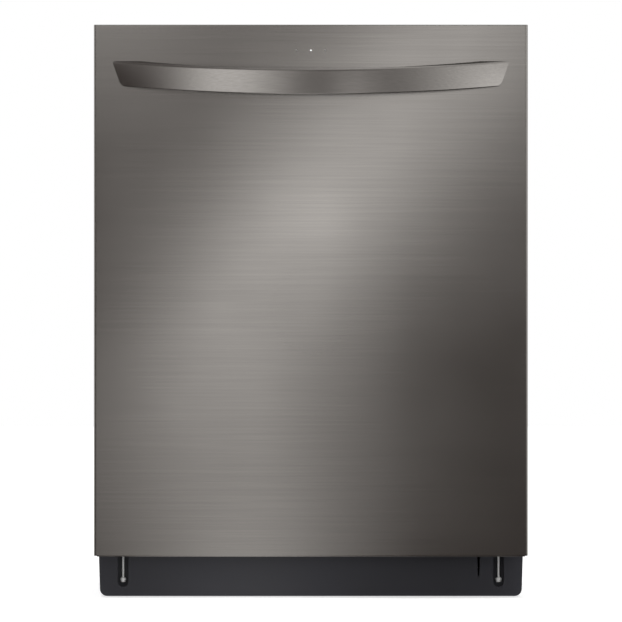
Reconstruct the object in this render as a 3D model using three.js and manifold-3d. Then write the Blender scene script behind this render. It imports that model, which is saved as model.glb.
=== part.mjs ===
// A built-in dishwasher, 24 inch class, with hidden top controls and a bowed bar handle.
// Millimetres. +X is to the right seen from the front, +Y runs to the back, +Z is up.
// The origin is on the floor, in the middle of the width and of the depth from the handle to the back.
import * as THREE from "three";
import { mergeVertices } from "three/addons/utils/BufferGeometryUtils.js";
import Module from "manifold-3d";

const wasm = await Module();
wasm.setup();

// ---------------------------------------------------------------------------------------------
// Driving sizes
// ---------------------------------------------------------------------------------------------
const fit = 0.3; // gap between two pieces that touch or slide on each other
const sheet = 1; // gauge of the pressed steel panels

const doorWidth = 603;
const doorHeight = 738;
const doorBottomZ = 60; // height of the door's lower edge above the floor
const doorThickness = 46; // outer skin to the liner's sealing face
const bodyDepth = 625; // door skin to the back of the machine
const handleReach = 48; // how far the handle bows out of the door
const toeRecess = 80.5; // door skin back to the toe face of the base
const toeClearance = 1; // base's underside above the floor, with the feet screwed home
const cabinetWidth = 594;

const hingeHeight = 95; // hinge pins above the floor
const hingeInset = 38.5; // hinge pins behind the door skin

const tubInset = 25; // the tub's inner walls inside the cabinet's sides
const tubFloorZ = 117.5;
const tubCeilingZ = 735;
const tubTopZ = 786; // top of the tub's front frame
const tubFrontGap = 6.5; // liner's sealing face to the tub's front frame
const tubBackInset = 20.5; // tub's inner back wall in front of the machine's back
const fieldDepth = 15; // how far the liner's raised field enters the tub

// Places worked out from them
const overallDepth = bodyDepth + handleReach;
const skinY = -overallDepth / 2 + handleReach;
const backY = overallDepth / 2;
const doorTopZ = doorBottomZ + doorHeight;
const linerY = skinY + doorThickness;
const fieldY = linerY + fieldDepth;
const tubFrontY = linerY + tubFrontGap;
const tubBackY = backY - tubBackInset;
const toeY = skinY + toeRecess;
const hingeY = skinY + hingeInset;
const cabinetHalf = cabinetWidth / 2;
const tubHalf = cabinetHalf - tubInset;

// ---------------------------------------------------------------------------------------------
// Materials
// ---------------------------------------------------------------------------------------------
const finish = (color, roughness, metalness) =>
  new THREE.MeshStandardMaterial({ color, roughness, metalness });
const blackSteel = finish(0x6a6560, 0.35, 1);
const tubSteel = finish(0xb9bbbd, 0.3, 1);
const zincSteel = finish(0x9a9da0, 0.45, 1);
const blackPlastic = finish(0x29292b, 0.5, 0);
const greyPlastic = finish(0x8b8e91, 0.5, 0);
const darkNylon = finish(0x4c5055, 0.45, 0);
const greyNylon = finish(0x7f858b, 0.45, 0);
const blackRubber = finish(0x1d1d1f, 0.8, 0);
const greyFelt = finish(0x55575a, 0.95, 0);
const clearLens = finish(0xe8eef0, 0.2, 0);
const chromedSteel = finish(0xc9ccd0, 0.2, 1);

// ---------------------------------------------------------------------------------------------
// Solid helpers: three.js shapes in, manifold solids between, three.js meshes out
// ---------------------------------------------------------------------------------------------

// Vertices lie on a fine grid that 32-bit numbers hold exactly, so faces meant to meet do meet.
const gridPerMm = 256;
const snap = (v) => Math.round(v * gridPerMm) / gridPerMm;

// A closed three.js geometry as a solid.
function solidOf(geometry) {
  const source = geometry.index ? geometry.toNonIndexed() : geometry;
  const bare = new THREE.BufferGeometry();
  bare.setAttribute("position", source.getAttribute("position"));
  const merged = mergeVertices(bare, 1e-4);
  return new wasm.Manifold(
    new wasm.Mesh({
      numProp: 3,
      vertProperties: merged.attributes.position.array.map(snap),
      triVerts: new Uint32Array(merged.index.array),
    }),
  );
}

// A box between two corners, given in either order.
function box(x0, x1, y0, y1, z0, z1) {
  const g = new THREE.BoxGeometry(Math.abs(x1 - x0), Math.abs(y1 - y0), Math.abs(z1 - z0));
  return solidOf(g.translate((x0 + x1) / 2, (y0 + y1) / 2, (z0 + z1) / 2));
}

// A cylinder about the line through (x, y), from z0 to z1.
function post(radius, x, y, z0, z1, sides = 24, topRadius = radius) {
  const g = new THREE.CylinderGeometry(topRadius, radius, z1 - z0, sides);
  return solidOf(g.rotateX(Math.PI / 2).translate(x, y, (z0 + z1) / 2));
}

// A cylinder along X through (y, z).
function pinX(radius, x0, x1, y, z, sides = 16) {
  const g = new THREE.CylinderGeometry(radius, radius, Math.abs(x1 - x0), sides);
  return solidOf(g.rotateZ(Math.PI / 2).translate((x0 + x1) / 2, y, z));
}

// A cylinder along Y through (x, z).
function pinY(radius, x, y0, y1, z, sides = 16) {
  const g = new THREE.CylinderGeometry(radius, radius, y1 - y0, sides);
  return solidOf(g.translate(x, (y0 + y1) / 2, z));
}

// An outline of [x, z] corners, pushed from y0 to y1.
function slabXZ(corners, y0, y1) {
  const shape = new THREE.Shape(corners.map(([x, z]) => new THREE.Vector2(x, z)));
  const g = new THREE.ExtrudeGeometry(shape, { depth: y1 - y0, bevelEnabled: false });
  return solidOf(g.rotateX(Math.PI / 2).translate(0, y1, 0));
}

// An outline of [y, z] corners, pushed from x0 to x1.
function slabYZ(corners, x0, x1) {
  const shape = new THREE.Shape(corners.map(([y, z]) => new THREE.Vector2(y, z)));
  const g = new THREE.ExtrudeGeometry(shape, { depth: Math.abs(x1 - x0), bevelEnabled: false });
  return solidOf(g.rotateX(Math.PI / 2).rotateZ(Math.PI / 2).translate(Math.min(x0, x1), 0, 0));
}

// A three.js shape in the XY plane, raised from z0 to z1.
function slabXY(shape, z0, z1, curveSegments = 6) {
  const g = new THREE.ExtrudeGeometry(shape, {
    depth: z1 - z0,
    bevelEnabled: false,
    curveSegments,
  });
  return solidOf(g.translate(0, 0, z0));
}

// A rectangle with rounded corners, centred on (x, y).
function roundedRect(x, y, width, height, radius) {
  const [a, b] = [x - width / 2, y - height / 2];
  const [c, d] = [x + width / 2, y + height / 2];
  const s = new THREE.Shape();
  s.moveTo(a + radius, b);
  s.lineTo(c - radius, b);
  s.absarc(c - radius, b + radius, radius, -Math.PI / 2, 0);
  s.lineTo(c, d - radius);
  s.absarc(c - radius, d - radius, radius, 0, Math.PI / 2);
  s.lineTo(a + radius, d);
  s.absarc(a + radius, d - radius, radius, Math.PI / 2, Math.PI);
  s.lineTo(a, b + radius);
  s.absarc(a + radius, b + radius, radius, Math.PI, 1.5 * Math.PI);
  return s;
}

// A profile of [radius, z] points turned about the Z axis.
function turned(profile, sides = 24) {
  const g = new THREE.LatheGeometry(
    profile.map(([r, z]) => new THREE.Vector2(r, z)),
    sides,
  );
  return solidOf(g.rotateX(Math.PI / 2));
}

const join = (parts) => parts.reduce((all, next) => all.add(next));

// A named mesh, ready to be placed.
function piece(name, solid, material, [x, y, z] = [0, 0, 0]) {
  const made = solid.getMesh();
  const g = new THREE.BufferGeometry();
  g.setAttribute("position", new THREE.BufferAttribute(made.vertProperties, 3));
  g.setIndex(new THREE.BufferAttribute(made.triVerts, 1));
  g.computeVertexNormals();
  const mesh = new THREE.Mesh(g, material);
  mesh.name = name;
  mesh.position.set(x, y, z);
  return mesh;
}

// The two ends of the machine's width: a name and the sign of X.
const sides = [
  ["left", -1],
  ["right", 1],
];

const machine = new THREE.Group();
const cabinet = new THREE.Group();
const door = new THREE.Group();
const racks = new THREE.Group();
machine.add(cabinet, door, racks);

// ---------------------------------------------------------------------------------------------
// Base: a moulded tray that closes the front below the door and carries everything
// ---------------------------------------------------------------------------------------------
const baseWall = 2.5;
const baseCorner = 10; // rounded lower corners of the toe face
const baseDraft = 1.5; // each side leans in by this much towards the floor
const baseBackY = backY - 5.5;
const toeWall = 3;
const toeTopZ = tubFloorZ - sheet - fit; // the raised middle of the toe wall carries the tub's lip
const hingeZone = 44; // width at each side that is left open for the hinges
const ribHeight = 21;

const bracketPlateX = cabinetHalf - 21; // inner face of each hinge bracket's cheek
const bracketGauge = 3;
const screwX = cabinetHalf - 34; // spring screws, from the centre
const screwY = toeY + 7;
const channelWidth = 15;
const channelDepth = 14;
const channelFootZ = 14;
const blockInner = screwX - 12; // boss blocks that hold the channels and carry the hinges
const blockOuter = bracketPlateX + bracketGauge;
const blockBackY = toeY + channelDepth + toeWall;
const slitX = cabinetHalf - 62; // narrow tapered drain slit beside the right-hand screw
const slitTop = 4;
const slitFoot = 2;
const slitFootZ = 29;
const slitTopZ = doorBottomZ + 4;

const footRadius = 17;
const footHeight = 8;
const studRadius = 5;
const studTopZ = 88;
const footX = cabinetHalf - 35;
const footFrontY = toeY + 40;
const footBackY = baseBackY - 32;
const bossWall = 4;
const bossTopZ = toeClearance + ribHeight;
const feet = [
  ["front_left", -footX, footFrontY],
  ["front_right", footX, footFrontY],
  ["rear_left", -footX, footBackY],
  ["rear_right", footX, footBackY],
];

// Front view of the tray: drafted sides and two rounded lower corners, drawn smaller by `inset`.
function baseOutline(inset) {
  const top = cabinetHalf - inset;
  const foot = top - baseDraft;
  const floor = toeClearance + inset;
  const steps = 6;
  const arc = (x, start) =>
    Array.from({ length: steps + 1 }, (_, i) => {
      const a = start + ((i / steps) * Math.PI) / 2;
      return [x + baseCorner * Math.cos(a), floor + baseCorner + baseCorner * Math.sin(a)];
    });
  return [
    [-top, doorBottomZ],
    ...arc(-foot + baseCorner, Math.PI),
    ...arc(foot - baseCorner, 1.5 * Math.PI),
    [top, doorBottomZ],
  ];
}

function baseTray() {
  const open = toeY + toeWall;
  let tray = slabXZ(baseOutline(0), toeY, baseBackY);
  const hollow = baseOutline(baseWall).map(([x, z]) => [x, z === doorBottomZ ? z + 1 : z]);
  tray = tray.subtract(slabXZ(hollow, open, baseBackY - baseWall));
  const raised = cabinetHalf - hingeZone;
  tray = tray.add(box(-raised, raised, toeY, open, doorBottomZ - 1, toeTopZ));
  const half = channelWidth / 2;
  const footZ = channelFootZ + half;
  for (const [, side] of sides) {
    const x = side * screwX;
    const block = [side * blockInner, side * blockOuter, toeY + 1, blockBackY];
    tray = tray.add(box(...block, toeClearance + 1, doorBottomZ));
    tray = tray.subtract(box(x - half, x + half, toeY - 1, toeY + channelDepth, footZ, toeTopZ + 1));
    tray = tray.subtract(pinY(half, x, toeY - 1, toeY + channelDepth, footZ));
  }
  const slit = [
    [slitX - slitTop / 2, slitTopZ],
    [slitX - slitFoot / 2, slitFootZ],
    [slitX + slitFoot / 2, slitFootZ],
    [slitX + slitTop / 2, slitTopZ],
  ];
  tray = tray.subtract(slabXZ(slit, toeY - 1, open + 1));
  for (const share of [0.3, 0.7]) {
    const y = THREE.MathUtils.lerp(toeY, baseBackY, share);
    const reach = cabinetHalf - baseWall;
    tray = tray.add(box(-reach, reach, y, y + baseWall, toeClearance + 1, bossTopZ));
  }
  for (const [, x, y] of feet) {
    tray = tray.add(post(footRadius + bossWall, x, y, toeClearance + 1, bossTopZ));
    tray = tray.subtract(post(studRadius + fit, x, y, 0, bossTopZ + 1, 16));
    tray = tray.subtract(post(footRadius + 1, x, y, 0, footHeight + fit));
  }
  return piece("base_tray", tray, blackPlastic);
}

// Screw-in levelling feet, drawn screwed home.
function foot(name, x, y) {
  const stud = post(studRadius, x, y, footHeight - 1, studTopZ, 16);
  const pad = post(footRadius, x, y, 0, footHeight, 24, footRadius - 2);
  return piece(`leg_${name}`, pad.add(stud), blackPlastic);
}

cabinet.add(baseTray(), ...feet.map((f) => foot(...f)));

// ---------------------------------------------------------------------------------------------
// Tub, its front frame and the seal that the door closes on
// ---------------------------------------------------------------------------------------------
const frameHalf = cabinetHalf - 6.5;
const frameFootZ = hingeHeight + 40; // the frame's sides end here, above the hinges
const frameReturn = 12; // the frame's outer edge is folded back by this much
const cornerInner = tubHalf + 3;
const sumpCentre = [35, 10]; // middle of the opening in the tub's floor
const sumpOpening = [210, 158];
const sumpSeat = 10; // flat rim round the opening

function tub() {
  const outer = tubHalf + sheet;
  const floor = tubFloorZ - sheet;
  const ceiling = tubCeilingZ + sheet;
  const face = tubFrontY + sheet;
  const shell = box(-outer, outer, tubFrontY, tubBackY + sheet, floor, ceiling);
  const frame = join([
    shell,
    box(-frameHalf, frameHalf, tubFrontY, face, frameFootZ, tubTopZ),
    box(-cornerInner, cornerInner, tubFrontY, face, floor, frameFootZ + 1),
    box(-frameHalf, frameHalf, tubFrontY, tubFrontY + frameReturn, tubTopZ - sheet, tubTopZ),
    box(-frameHalf, sheet - frameHalf, tubFrontY, tubFrontY + frameReturn, frameFootZ, tubTopZ),
    box(frameHalf - sheet, frameHalf, tubFrontY, tubFrontY + frameReturn, frameFootZ, tubTopZ),
  ]);
  const inside = box(-tubHalf, tubHalf, tubFrontY - 1, tubBackY, tubFloorZ, tubCeilingZ);
  const [x, y] = sumpCentre;
  const [width, depth] = sumpOpening;
  const drain = slabXY(roundedRect(x, y, width, depth, 40), floor - 1, tubFloorZ + 1);
  return piece("tub", frame.subtract(inside).subtract(drain), tubSteel);
}

const sealInner = tubHalf + 2;
const sealOuter = sealInner + 12;
const sealHead = 8; // height of its top run

// The seal runs up both sides and across the top; the door's lower edge has no seal.
function tubSeal() {
  const front = linerY + fit;
  const back = tubFrontY - fit;
  const top = tubCeilingZ + sheet;
  const outer = box(-sealOuter, sealOuter, front, back, frameFootZ - 10, top + sealHead);
  const inner = box(-sealInner, sealInner, front - 1, back + 1, frameFootZ - 11, top);
  return piece("tub_gasket", outer.subtract(inner), blackRubber);
}

cabinet.add(tub(), tubSeal());

// ---------------------------------------------------------------------------------------------
// Cabinet shell: side panels, rear panel, sound blanket and the brackets that fix it to a worktop
// ---------------------------------------------------------------------------------------------
const panelTopZ = tubTopZ - 6;
const panelFrontY = tubFrontY + 4;
const panelReturn = 5;
const panelNotchY = toeY + fit; // clear of the door's lower edge as it swings in
const panelNotchZ = hingeHeight + 23;
const rearFootZ = doorBottomZ + 4;
const rearFrontY = backY - 5;
const blanketThickness = 13;
const blanketHalf = tubHalf - 10;

function sidePanel(name, side) {
  const face = [
    [panelNotchY, doorBottomZ + fit],
    [rearFrontY - fit, doorBottomZ + fit],
    [rearFrontY - fit, panelTopZ],
    [panelFrontY, panelTopZ],
    [panelFrontY, panelNotchZ],
    [panelNotchY, panelNotchZ],
  ];
  const inner = cabinetHalf - panelReturn - sheet;
  const panel = join([
    slabYZ(face, side * (cabinetHalf - sheet), side * cabinetHalf),
    box(side * inner, side * cabinetHalf, panelFrontY, panelFrontY + sheet, panelNotchZ, panelTopZ),
    box(
      side * inner,
      side * cabinetHalf,
      rearFrontY - fit - sheet,
      rearFrontY - fit,
      doorBottomZ + fit,
      panelTopZ,
    ),
  ]);
  return piece(`side_panel_${name}`, panel, zincSteel);
}

// A pressed frame across the back, open in the middle where the blanket shows.
function rearPanel() {
  const half = cabinetHalf;
  const plate = box(-half, half, rearFrontY, rearFrontY + sheet, rearFootZ, panelTopZ);
  const border = 52;
  const opening = box(
    border - half,
    half - border,
    rearFrontY - 1,
    rearFrontY + 2,
    rearFootZ + 3 * border,
    panelTopZ - border,
  );
  const lip = sheet - fit / 3;
  const stiffener = box(-half, half, rearFrontY, backY, rearFootZ, rearFootZ + lip);
  const head = box(-half, half, rearFrontY, backY, panelTopZ - lip, panelTopZ);
  return piece("rear_panel", join([plate.subtract(opening), stiffener, head]), zincSteel);
}

// The blanket lies on the tub's top and hangs down behind it.
function soundBlanket() {
  const top = tubCeilingZ + sheet + fit;
  const back = tubBackY + sheet + fit;
  const profile = [
    [tubFrontY + 30, top],
    [back, top],
    [back, tubFloorZ + 40],
    [back + blanketThickness, tubFloorZ + 40],
    [back + blanketThickness, top + blanketThickness],
    [tubFrontY + 30, top + blanketThickness],
  ];
  return piece("top_blanket", slabYZ(profile, -blanketHalf, blanketHalf), greyFelt);
}

const bracketX = cabinetHalf - 97;
const bracketWidth = 40;
const bracketSheet = 1.5;
const bracketTopZ = doorTopZ - 1;
const bracketReach = 26;

// A folded bracket on the tub's front frame, with a screw hole up into the worktop.
function mountingBracket(name, side) {
  const footZ = tubTopZ + fit;
  const x0 = side * bracketX - bracketWidth / 2;
  const x1 = x0 + bracketWidth;
  const foot = tubFrontY + frameReturn;
  const riser = tubFrontY + 2;
  const bracket = join([
    box(x0, x1, riser, foot, footZ, footZ + bracketSheet),
    box(x0, x1, riser, riser + bracketSheet, footZ, bracketTopZ),
    box(x0, x1, riser, riser + bracketReach, bracketTopZ - bracketSheet, bracketTopZ),
  ]);
  const hole = post(2.5, side * bracketX, riser + bracketReach - 9, bracketTopZ - 5, bracketTopZ + 5, 12);
  return piece(`mounting_bracket_${name}`, bracket.subtract(hole), zincSteel);
}

// The loop that the door's latch closes on.
const latchZ = tubCeilingZ + 18;
const strikerReach = 26;
const strikerHalf = 9;
const strikerWire = 2;

function latchStriker() {
  const front = tubFrontY - strikerReach;
  const back = tubFrontY - fit;
  const bar = [latchZ - strikerWire, latchZ + strikerWire];
  const outer = box(-strikerHalf, strikerHalf, front, back, ...bar);
  const gap = strikerHalf - 2 * strikerWire;
  const loop = outer.subtract(box(-gap, gap, front + 2 * strikerWire, back - 2, latchZ - 5, latchZ + 5));
  const plate = box(-16, 16, back - 1.5, back, latchZ - 7, latchZ + 7);
  return piece("latch_striker", loop.add(plate), zincSteel);
}

cabinet.add(...sides.map((s) => sidePanel(...s)), rearPanel(), soundBlanket());
cabinet.add(...sides.map((s) => mountingBracket(...s)), latchStriker());

// ---------------------------------------------------------------------------------------------
// Hinges: a bracket on the base, the door's arm on its pin, and a spring behind
// ---------------------------------------------------------------------------------------------
const hingePin = 4;
const hingeCheek = 8; // half the height of the bracket's cheek round the pin
const armX = bracketPlateX + bracketGauge + 5.5;
const armGauge = 3;
const pinEndX = armX + armGauge + 4.5;
const tail = [hingeY + 20, hingeHeight - 22]; // where the spring hooks on
const anchor = [toeY + 93, 33];
const springRadius = 4.2;
const springX = armX + armGauge / 2;
const hookGap = 9; // the coil stops this far from either hook's centre

const rodRadius = 1.7;
const rodTopZ = doorBottomZ + 24;
const headRadius = 4.25;
const headZ = channelFootZ + 6;
const headHeight = 5;

function hingeBracket(name, side) {
  const outer = bracketPlateX + bracketGauge;
  const seat = doorBottomZ + fit;
  const back = blockBackY;
  const front = toeY + 1;
  const inner = cabinetHalf - hingeZone + fit;
  const foot = box(side * inner, side * outer, front, back, seat, seat + bracketGauge);
  const cheek = [
    [hingeY - 12, hingeHeight - hingeCheek],
    [front, hingeHeight - hingeCheek],
    [front, seat],
    [back, seat],
    [back, hingeHeight + hingeCheek],
    [hingeY - 12, hingeHeight + hingeCheek],
  ];
  const plate = slabYZ(cheek, side * bracketPlateX, side * outer);
  const pin = pinX(hingePin, side * bracketPlateX, side * pinEndX, hingeY, hingeHeight);
  const hole = post(rodRadius + fit, side * screwX, screwY, seat - 5, seat + 10, 12);
  return piece(`hinge_bracket_${name}`, join([foot, plate, pin]).subtract(hole), zincSteel);
}

// The arm is riveted inside the door; its tail passes out through the liner to the spring.
const armTopZ = hingeHeight + 235;
const armFrontY = hingeY - 25;
const armBackY = linerY - sheet - fit;

function hingeArm(name, side) {
  const [tailY, tailZ] = tail;
  const outline = [
    [armFrontY, hingeHeight - 31],
    [hingeY, hingeHeight - 31],
    [tailY + 2, tailZ - 7],
    [tailY + 7, tailZ - 2],
    [tailY + 5, tailZ + 7],
    [hingeY + 8, hingeHeight + 5],
    [hingeY + 3, hingeHeight + 18],
    [armBackY, hingeHeight + 30],
    [armBackY, armTopZ],
    [armFrontY, armTopZ],
  ];
  const x = [side * armX, side * (armX + armGauge)];
  const through = [side * (armX - 1), side * (armX + armGauge + 1)];
  const arm = slabYZ(outline, ...x)
    .subtract(pinX(hingePin + fit, ...through, hingeY, hingeHeight))
    .subtract(pinX(2, ...through, tailY, tailZ, 10));
  return piece(`hinge_arm_${name}`, arm, zincSteel);
}

// The closed outer shape of the coil, between the arm's tail and the base.
function hingeSpring(name, side) {
  const [y0, z0] = tail;
  const [y1, z1] = anchor;
  const along = Math.hypot(y1 - y0, z1 - z0);
  const coil = new THREE.CylinderGeometry(springRadius, springRadius, along - 2 * hookGap, 12);
  coil.rotateX(Math.atan2(z1 - z0, y1 - y0));
  coil.translate(side * springX, (y0 + y1) / 2, (z0 + z1) / 2);
  return piece(`hinge_spring_${name}`, solidOf(coil), zincSteel);
}

// The long screw at each end of the toe face that sets the spring's pull.
function tensionScrew(name, side) {
  const head = post(headRadius, 0, 0, headZ, headZ + headHeight, 16);
  const slot = box(-headRadius, headRadius, -0.6, 0.6, headZ - 1, headZ + 1.5);
  const rod = post(rodRadius, 0, 0, headZ + headHeight - 1, rodTopZ, 12);
  const place = [side * screwX, screwY, 0];
  return piece(`tension_screw_${name}`, head.subtract(slot).add(rod), chromedSteel, place);
}

for (const [name, side] of sides) {
  cabinet.add(hingeBracket(name, side), hingeSpring(name, side), tensionScrew(name, side));
  door.add(hingeArm(name, side));
}

// ---------------------------------------------------------------------------------------------
// Sump, pumps, filter and the water's way up
// ---------------------------------------------------------------------------------------------
const sumpWall = 2.5;
const sumpFootZ = tubFloorZ - 55.5;
const sumpRim = [sumpOpening[0] + 24, sumpOpening[1] + 24];
const bowl = [sumpOpening[0] - 20, sumpOpening[1] - 20];
const armDockY = 30; // the spray arms turn about a line here
const armThickness = 11;
const stemRadius = 7;
const stemDepth = 8; // how far a stem or spigot reaches into a hub
const pillarRadius = 14;
const pillarTopZ = tubFloorZ + 19.9;
const filterPlateZ = tubFloorZ + fit;
const filterPlateGauge = 1.5;
const filterAt = [88, -18];
const filterFlange = 44;
const filterBody = 35;
const filterFootZ = sumpFootZ + 10;

function sump() {
  const [x, y] = sumpCentre;
  const rimTop = tubFloorZ - sheet - fit;
  const outer = slabXY(roundedRect(x, y, ...bowl, 34), sumpFootZ, rimTop, 5);
  const rim = slabXY(roundedRect(x, y, ...sumpRim, 44), rimTop - 4, rimTop, 5);
  const inner = bowl.map((size) => size - 2 * sumpWall);
  const hollow = slabXY(roundedRect(x, y, ...inner, 32), sumpFootZ + sumpWall, rimTop + 1, 5);
  return piece("sump", outer.add(rim).subtract(hollow), blackPlastic);
}

// A flat plate over the opening, with the spray arm's pillar and the filter's well in it.
function filterPlate() {
  const [x, y] = sumpCentre;
  const size = sumpOpening.map((s) => s + 2 * sumpSeat);
  const top = filterPlateZ + filterPlateGauge;
  const plate = slabXY(roundedRect(x, y, ...size, 48), filterPlateZ, top, 5);
  const pillar = join([
    post(pillarRadius + 6, 0, armDockY, top - 1, pillarTopZ, 20, pillarRadius),
    post(pillarRadius - 2, 0, armDockY, top - 1, pillarTopZ + fit + 8, 20),
  ]);
  const well = post(filterBody + fit, ...filterAt, filterPlateZ - 1, top + 1, 28);
  return piece("filter_plate", plate.add(pillar).subtract(well), tubSteel);
}

// The fine filter: a mesh cup with a grip, turned to lift it out.
function filterCup() {
  const seat = filterPlateZ + filterPlateGauge + fit;
  const profile = [
    [0, filterFootZ],
    [filterBody - 3, filterFootZ],
    [filterBody, seat],
    [filterFlange, seat],
    [filterFlange, seat + 2],
    [filterBody - 4, seat + 2],
    [filterBody - 6, filterFootZ + 3],
    [0, filterFootZ + 3],
  ];
  const grip = join([
    box(-filterBody + 2, filterBody - 2, -3, 3, seat - 2, seat + 10),
    post(9, 0, 0, seat - 2, seat + 10, 12),
  ]);
  return piece("filter_cup", turned(profile, 28).add(grip), greyNylon, [...filterAt, 0]);
}

const washPumpY = sumpCentre[1] + bowl[1] / 2 + 56;
const washPumpZ = tubFloorZ - 47.5;
const washPumpRadius = 36;
const pumpLength = 118;

// The circulation pump lies across the base behind the sump.
function washPump() {
  const back = sumpCentre[1] + bowl[1] / 2 + fit;
  const motor = pinX(washPumpRadius, -pumpLength / 2, pumpLength / 2, washPumpY, washPumpZ, 20);
  const volute = pinX(washPumpRadius + 6, pumpLength / 2 - 34, pumpLength / 2, washPumpY, washPumpZ, 20);
  const neck = pinY(17, pumpLength / 2 - 17, back, washPumpY, washPumpZ, 14);
  return piece("wash_pump", join([motor, volute, neck]), blackPlastic);
}

function drainPump() {
  const left = sumpCentre[0] - bowl[0] / 2 - fit;
  const y = sumpCentre[1];
  const z = sumpFootZ + 22;
  const body = pinX(23, left - 64, left - 16, y, z, 18);
  const neck = pinX(13, left - 20, left, y, z, 14);
  const outlet = pinY(9, left - 30, y, y + 38, z, 12);
  return piece("drain_pump", join([body, neck, outlet]), greyPlastic);
}

const valveInset = 81; // from the cabinet's left side

// Water comes in through a valve at the back of the base, on the left.
function inletValve() {
  const back = baseBackY - baseWall - fit;
  const x = valveInset - cabinetHalf;
  const body = box(x - 20, x + 20, back - 34, back, 34, 72);
  const spigot = pinY(10, x, back - 52, back - 30, 53, 12);
  return piece("inlet_valve", body.add(spigot), greyPlastic);
}

const pipeHalf = 21;
const pipeDepth = 17;
const upperFloorZ = tubFloorZ + 314.5; // floor of the upper rack
const middleArmZ = upperFloorZ - 21;
const topArmZ = tubCeilingZ - 23;

// A flat duct up the tub's back wall and forward under its ceiling, with a port for the middle arm.
function feedPipe() {
  const back = tubBackY - fit;
  const top = tubCeilingZ - fit;
  const foot = tubFloorZ + fit;
  const riser = box(-pipeHalf, pipeHalf, back - pipeDepth, back, foot, top);
  const runner = box(-pipeHalf, pipeHalf, armDockY - 22, back, top - pipeDepth + 4, top);
  const port = pinY(13, 0, back - pipeDepth - 22, back - pipeDepth + 2, middleArmZ + 12, 16);
  const hub = post(15, 0, armDockY, topArmZ + 2 + fit, top - 6, 16);
  const stem = post(stemRadius, 0, armDockY, topArmZ + 2 - stemDepth, top - 6, 16);
  return piece("feed_pipe", join([riser, runner, port, hub, stem]), greyPlastic);
}

cabinet.add(sump(), filterPlate(), filterCup(), washPump(), drainPump(), inletValve(), feedPipe());

// ---------------------------------------------------------------------------------------------
// Spray arms: hollow blades with a hub; each turns about its own hub
// ---------------------------------------------------------------------------------------------

// Seen from above: two long blades that taper to round tips, one bowed ahead and one behind.
// The hub's socket opens down onto a spigot, or up round a stem that the arm hangs from.
function sprayArm(name, reach, z, hubRadius, bore, hangs) {
  const root = 24;
  const tip = 13;
  const bow = 10;
  const blade = new THREE.Shape();
  blade.moveTo(-root, -root);
  blade.quadraticCurveTo(reach / 2, -root - bow, reach - tip, -tip);
  blade.absarc(reach - tip, 0, tip, -Math.PI / 2, Math.PI / 2);
  blade.quadraticCurveTo(reach / 2, root - bow, root, root);
  blade.quadraticCurveTo(-reach / 2, root + bow, -reach + tip, tip);
  blade.absarc(tip - reach, 0, tip, Math.PI / 2, 1.5 * Math.PI);
  blade.quadraticCurveTo(-reach / 2, bow - root, -root, -root);
  const arm = slabXY(blade, z, z + armThickness, 5);
  const [low, high] = [z - 4, z + armThickness + 2];
  const hub = post(hubRadius, 0, 0, low, high, 20);
  const socket = hangs ? [high - stemDepth - fit, high + 1] : [low - 1, low + stemDepth + fit];
  const hole = post(bore, 0, 0, ...socket, 20);
  return piece(name, arm.add(hub).subtract(hole), darkNylon, [0, armDockY, 0]);
}

const lowerArmZ = pillarTopZ + fit + 4;

// The lower arm sits on the pillar's spigot; the others hang from stems.
cabinet.add(
  sprayArm("lower_spray_arm", tubHalf - 57, lowerArmZ, 22, pillarRadius - 2 + fit, false),
  sprayArm("top_spray_arm", 95, topArmZ - armThickness, 18, stemRadius + fit, true),
);
racks.add(
  sprayArm("middle_spray_arm", tubHalf - 72, middleArmZ - armThickness, 20, stemRadius + fit, true),
);

// ---------------------------------------------------------------------------------------------
// Racks: welded wire, drawn with square wires; runners and rails
// ---------------------------------------------------------------------------------------------
const wire = 4;
const rackHalf = tubHalf - 26;
const rackFrontY = fieldY + 21.5;
const rackBackY = tubBackY - 46;
const railGauge = 1.5;
const railHalfHeight = 9;
const railDepth = 10;
const railBackY = tubBackY - 20;

// Wires side by side: boxes at even steps from `from` to `to`.
function spread(from, to, count, make) {
  return join(
    Array.from({ length: count }, (_, i) =>
      make(THREE.MathUtils.lerp(from, to, i / (count - 1))),
    ),
  );
}

const acrossX = (half, y, z) => box(-half, half, y - wire / 2, y + wire / 2, z, z + wire);
const alongY = (x, y0, y1, z) => box(x - wire / 2, x + wire / 2, y0, y1, z, z + wire);
const upright = (x, y, z0, z1) =>
  box(x - wire / 2, x + wire / 2, y - wire / 2, y + wire / 2, z0, z1);

// The open sides of a wire basket: three hoops on uprights at the corners and mid-sides.
function basketSides(floor, rim) {
  const edge = rackHalf - wire / 2;
  const [front, back] = [rackFrontY + wire / 2, rackBackY - wire / 2];
  const middle = (front + back) / 2;
  const hoop = (z) => [
    acrossX(rackHalf, front, z),
    acrossX(rackHalf, back, z),
    alongY(-edge, rackFrontY, rackBackY, z),
    alongY(edge, rackFrontY, rackBackY, z),
  ];
  return join([
    ...[0, 0.5, 1].flatMap((share) => hoop(THREE.MathUtils.lerp(floor, rim - wire, share))),
    ...[front, back].flatMap((y) => [-edge, 0, edge].map((x) => upright(x, y, floor, rim))),
    ...[-edge, edge].map((x) => upright(x, middle, floor, rim)),
  ]);
}

// The floor of a wire basket: a grid welded inside its lowest hoop.
function basketFloor(name, z) {
  const half = rackHalf - wire - fit;
  const [front, back] = [rackFrontY + wire + fit, rackBackY - wire - fit];
  const [cols, rows] = [11, 10];
  const grid = join([
    spread(wire / 2 - half, half - wire / 2, cols, (x) => alongY(x, front, back, z)),
    spread(front + wire / 2, back - wire / 2, rows, (y) => acrossX(half, y, z)),
  ]);
  return piece(name, grid, darkNylon);
}

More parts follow.
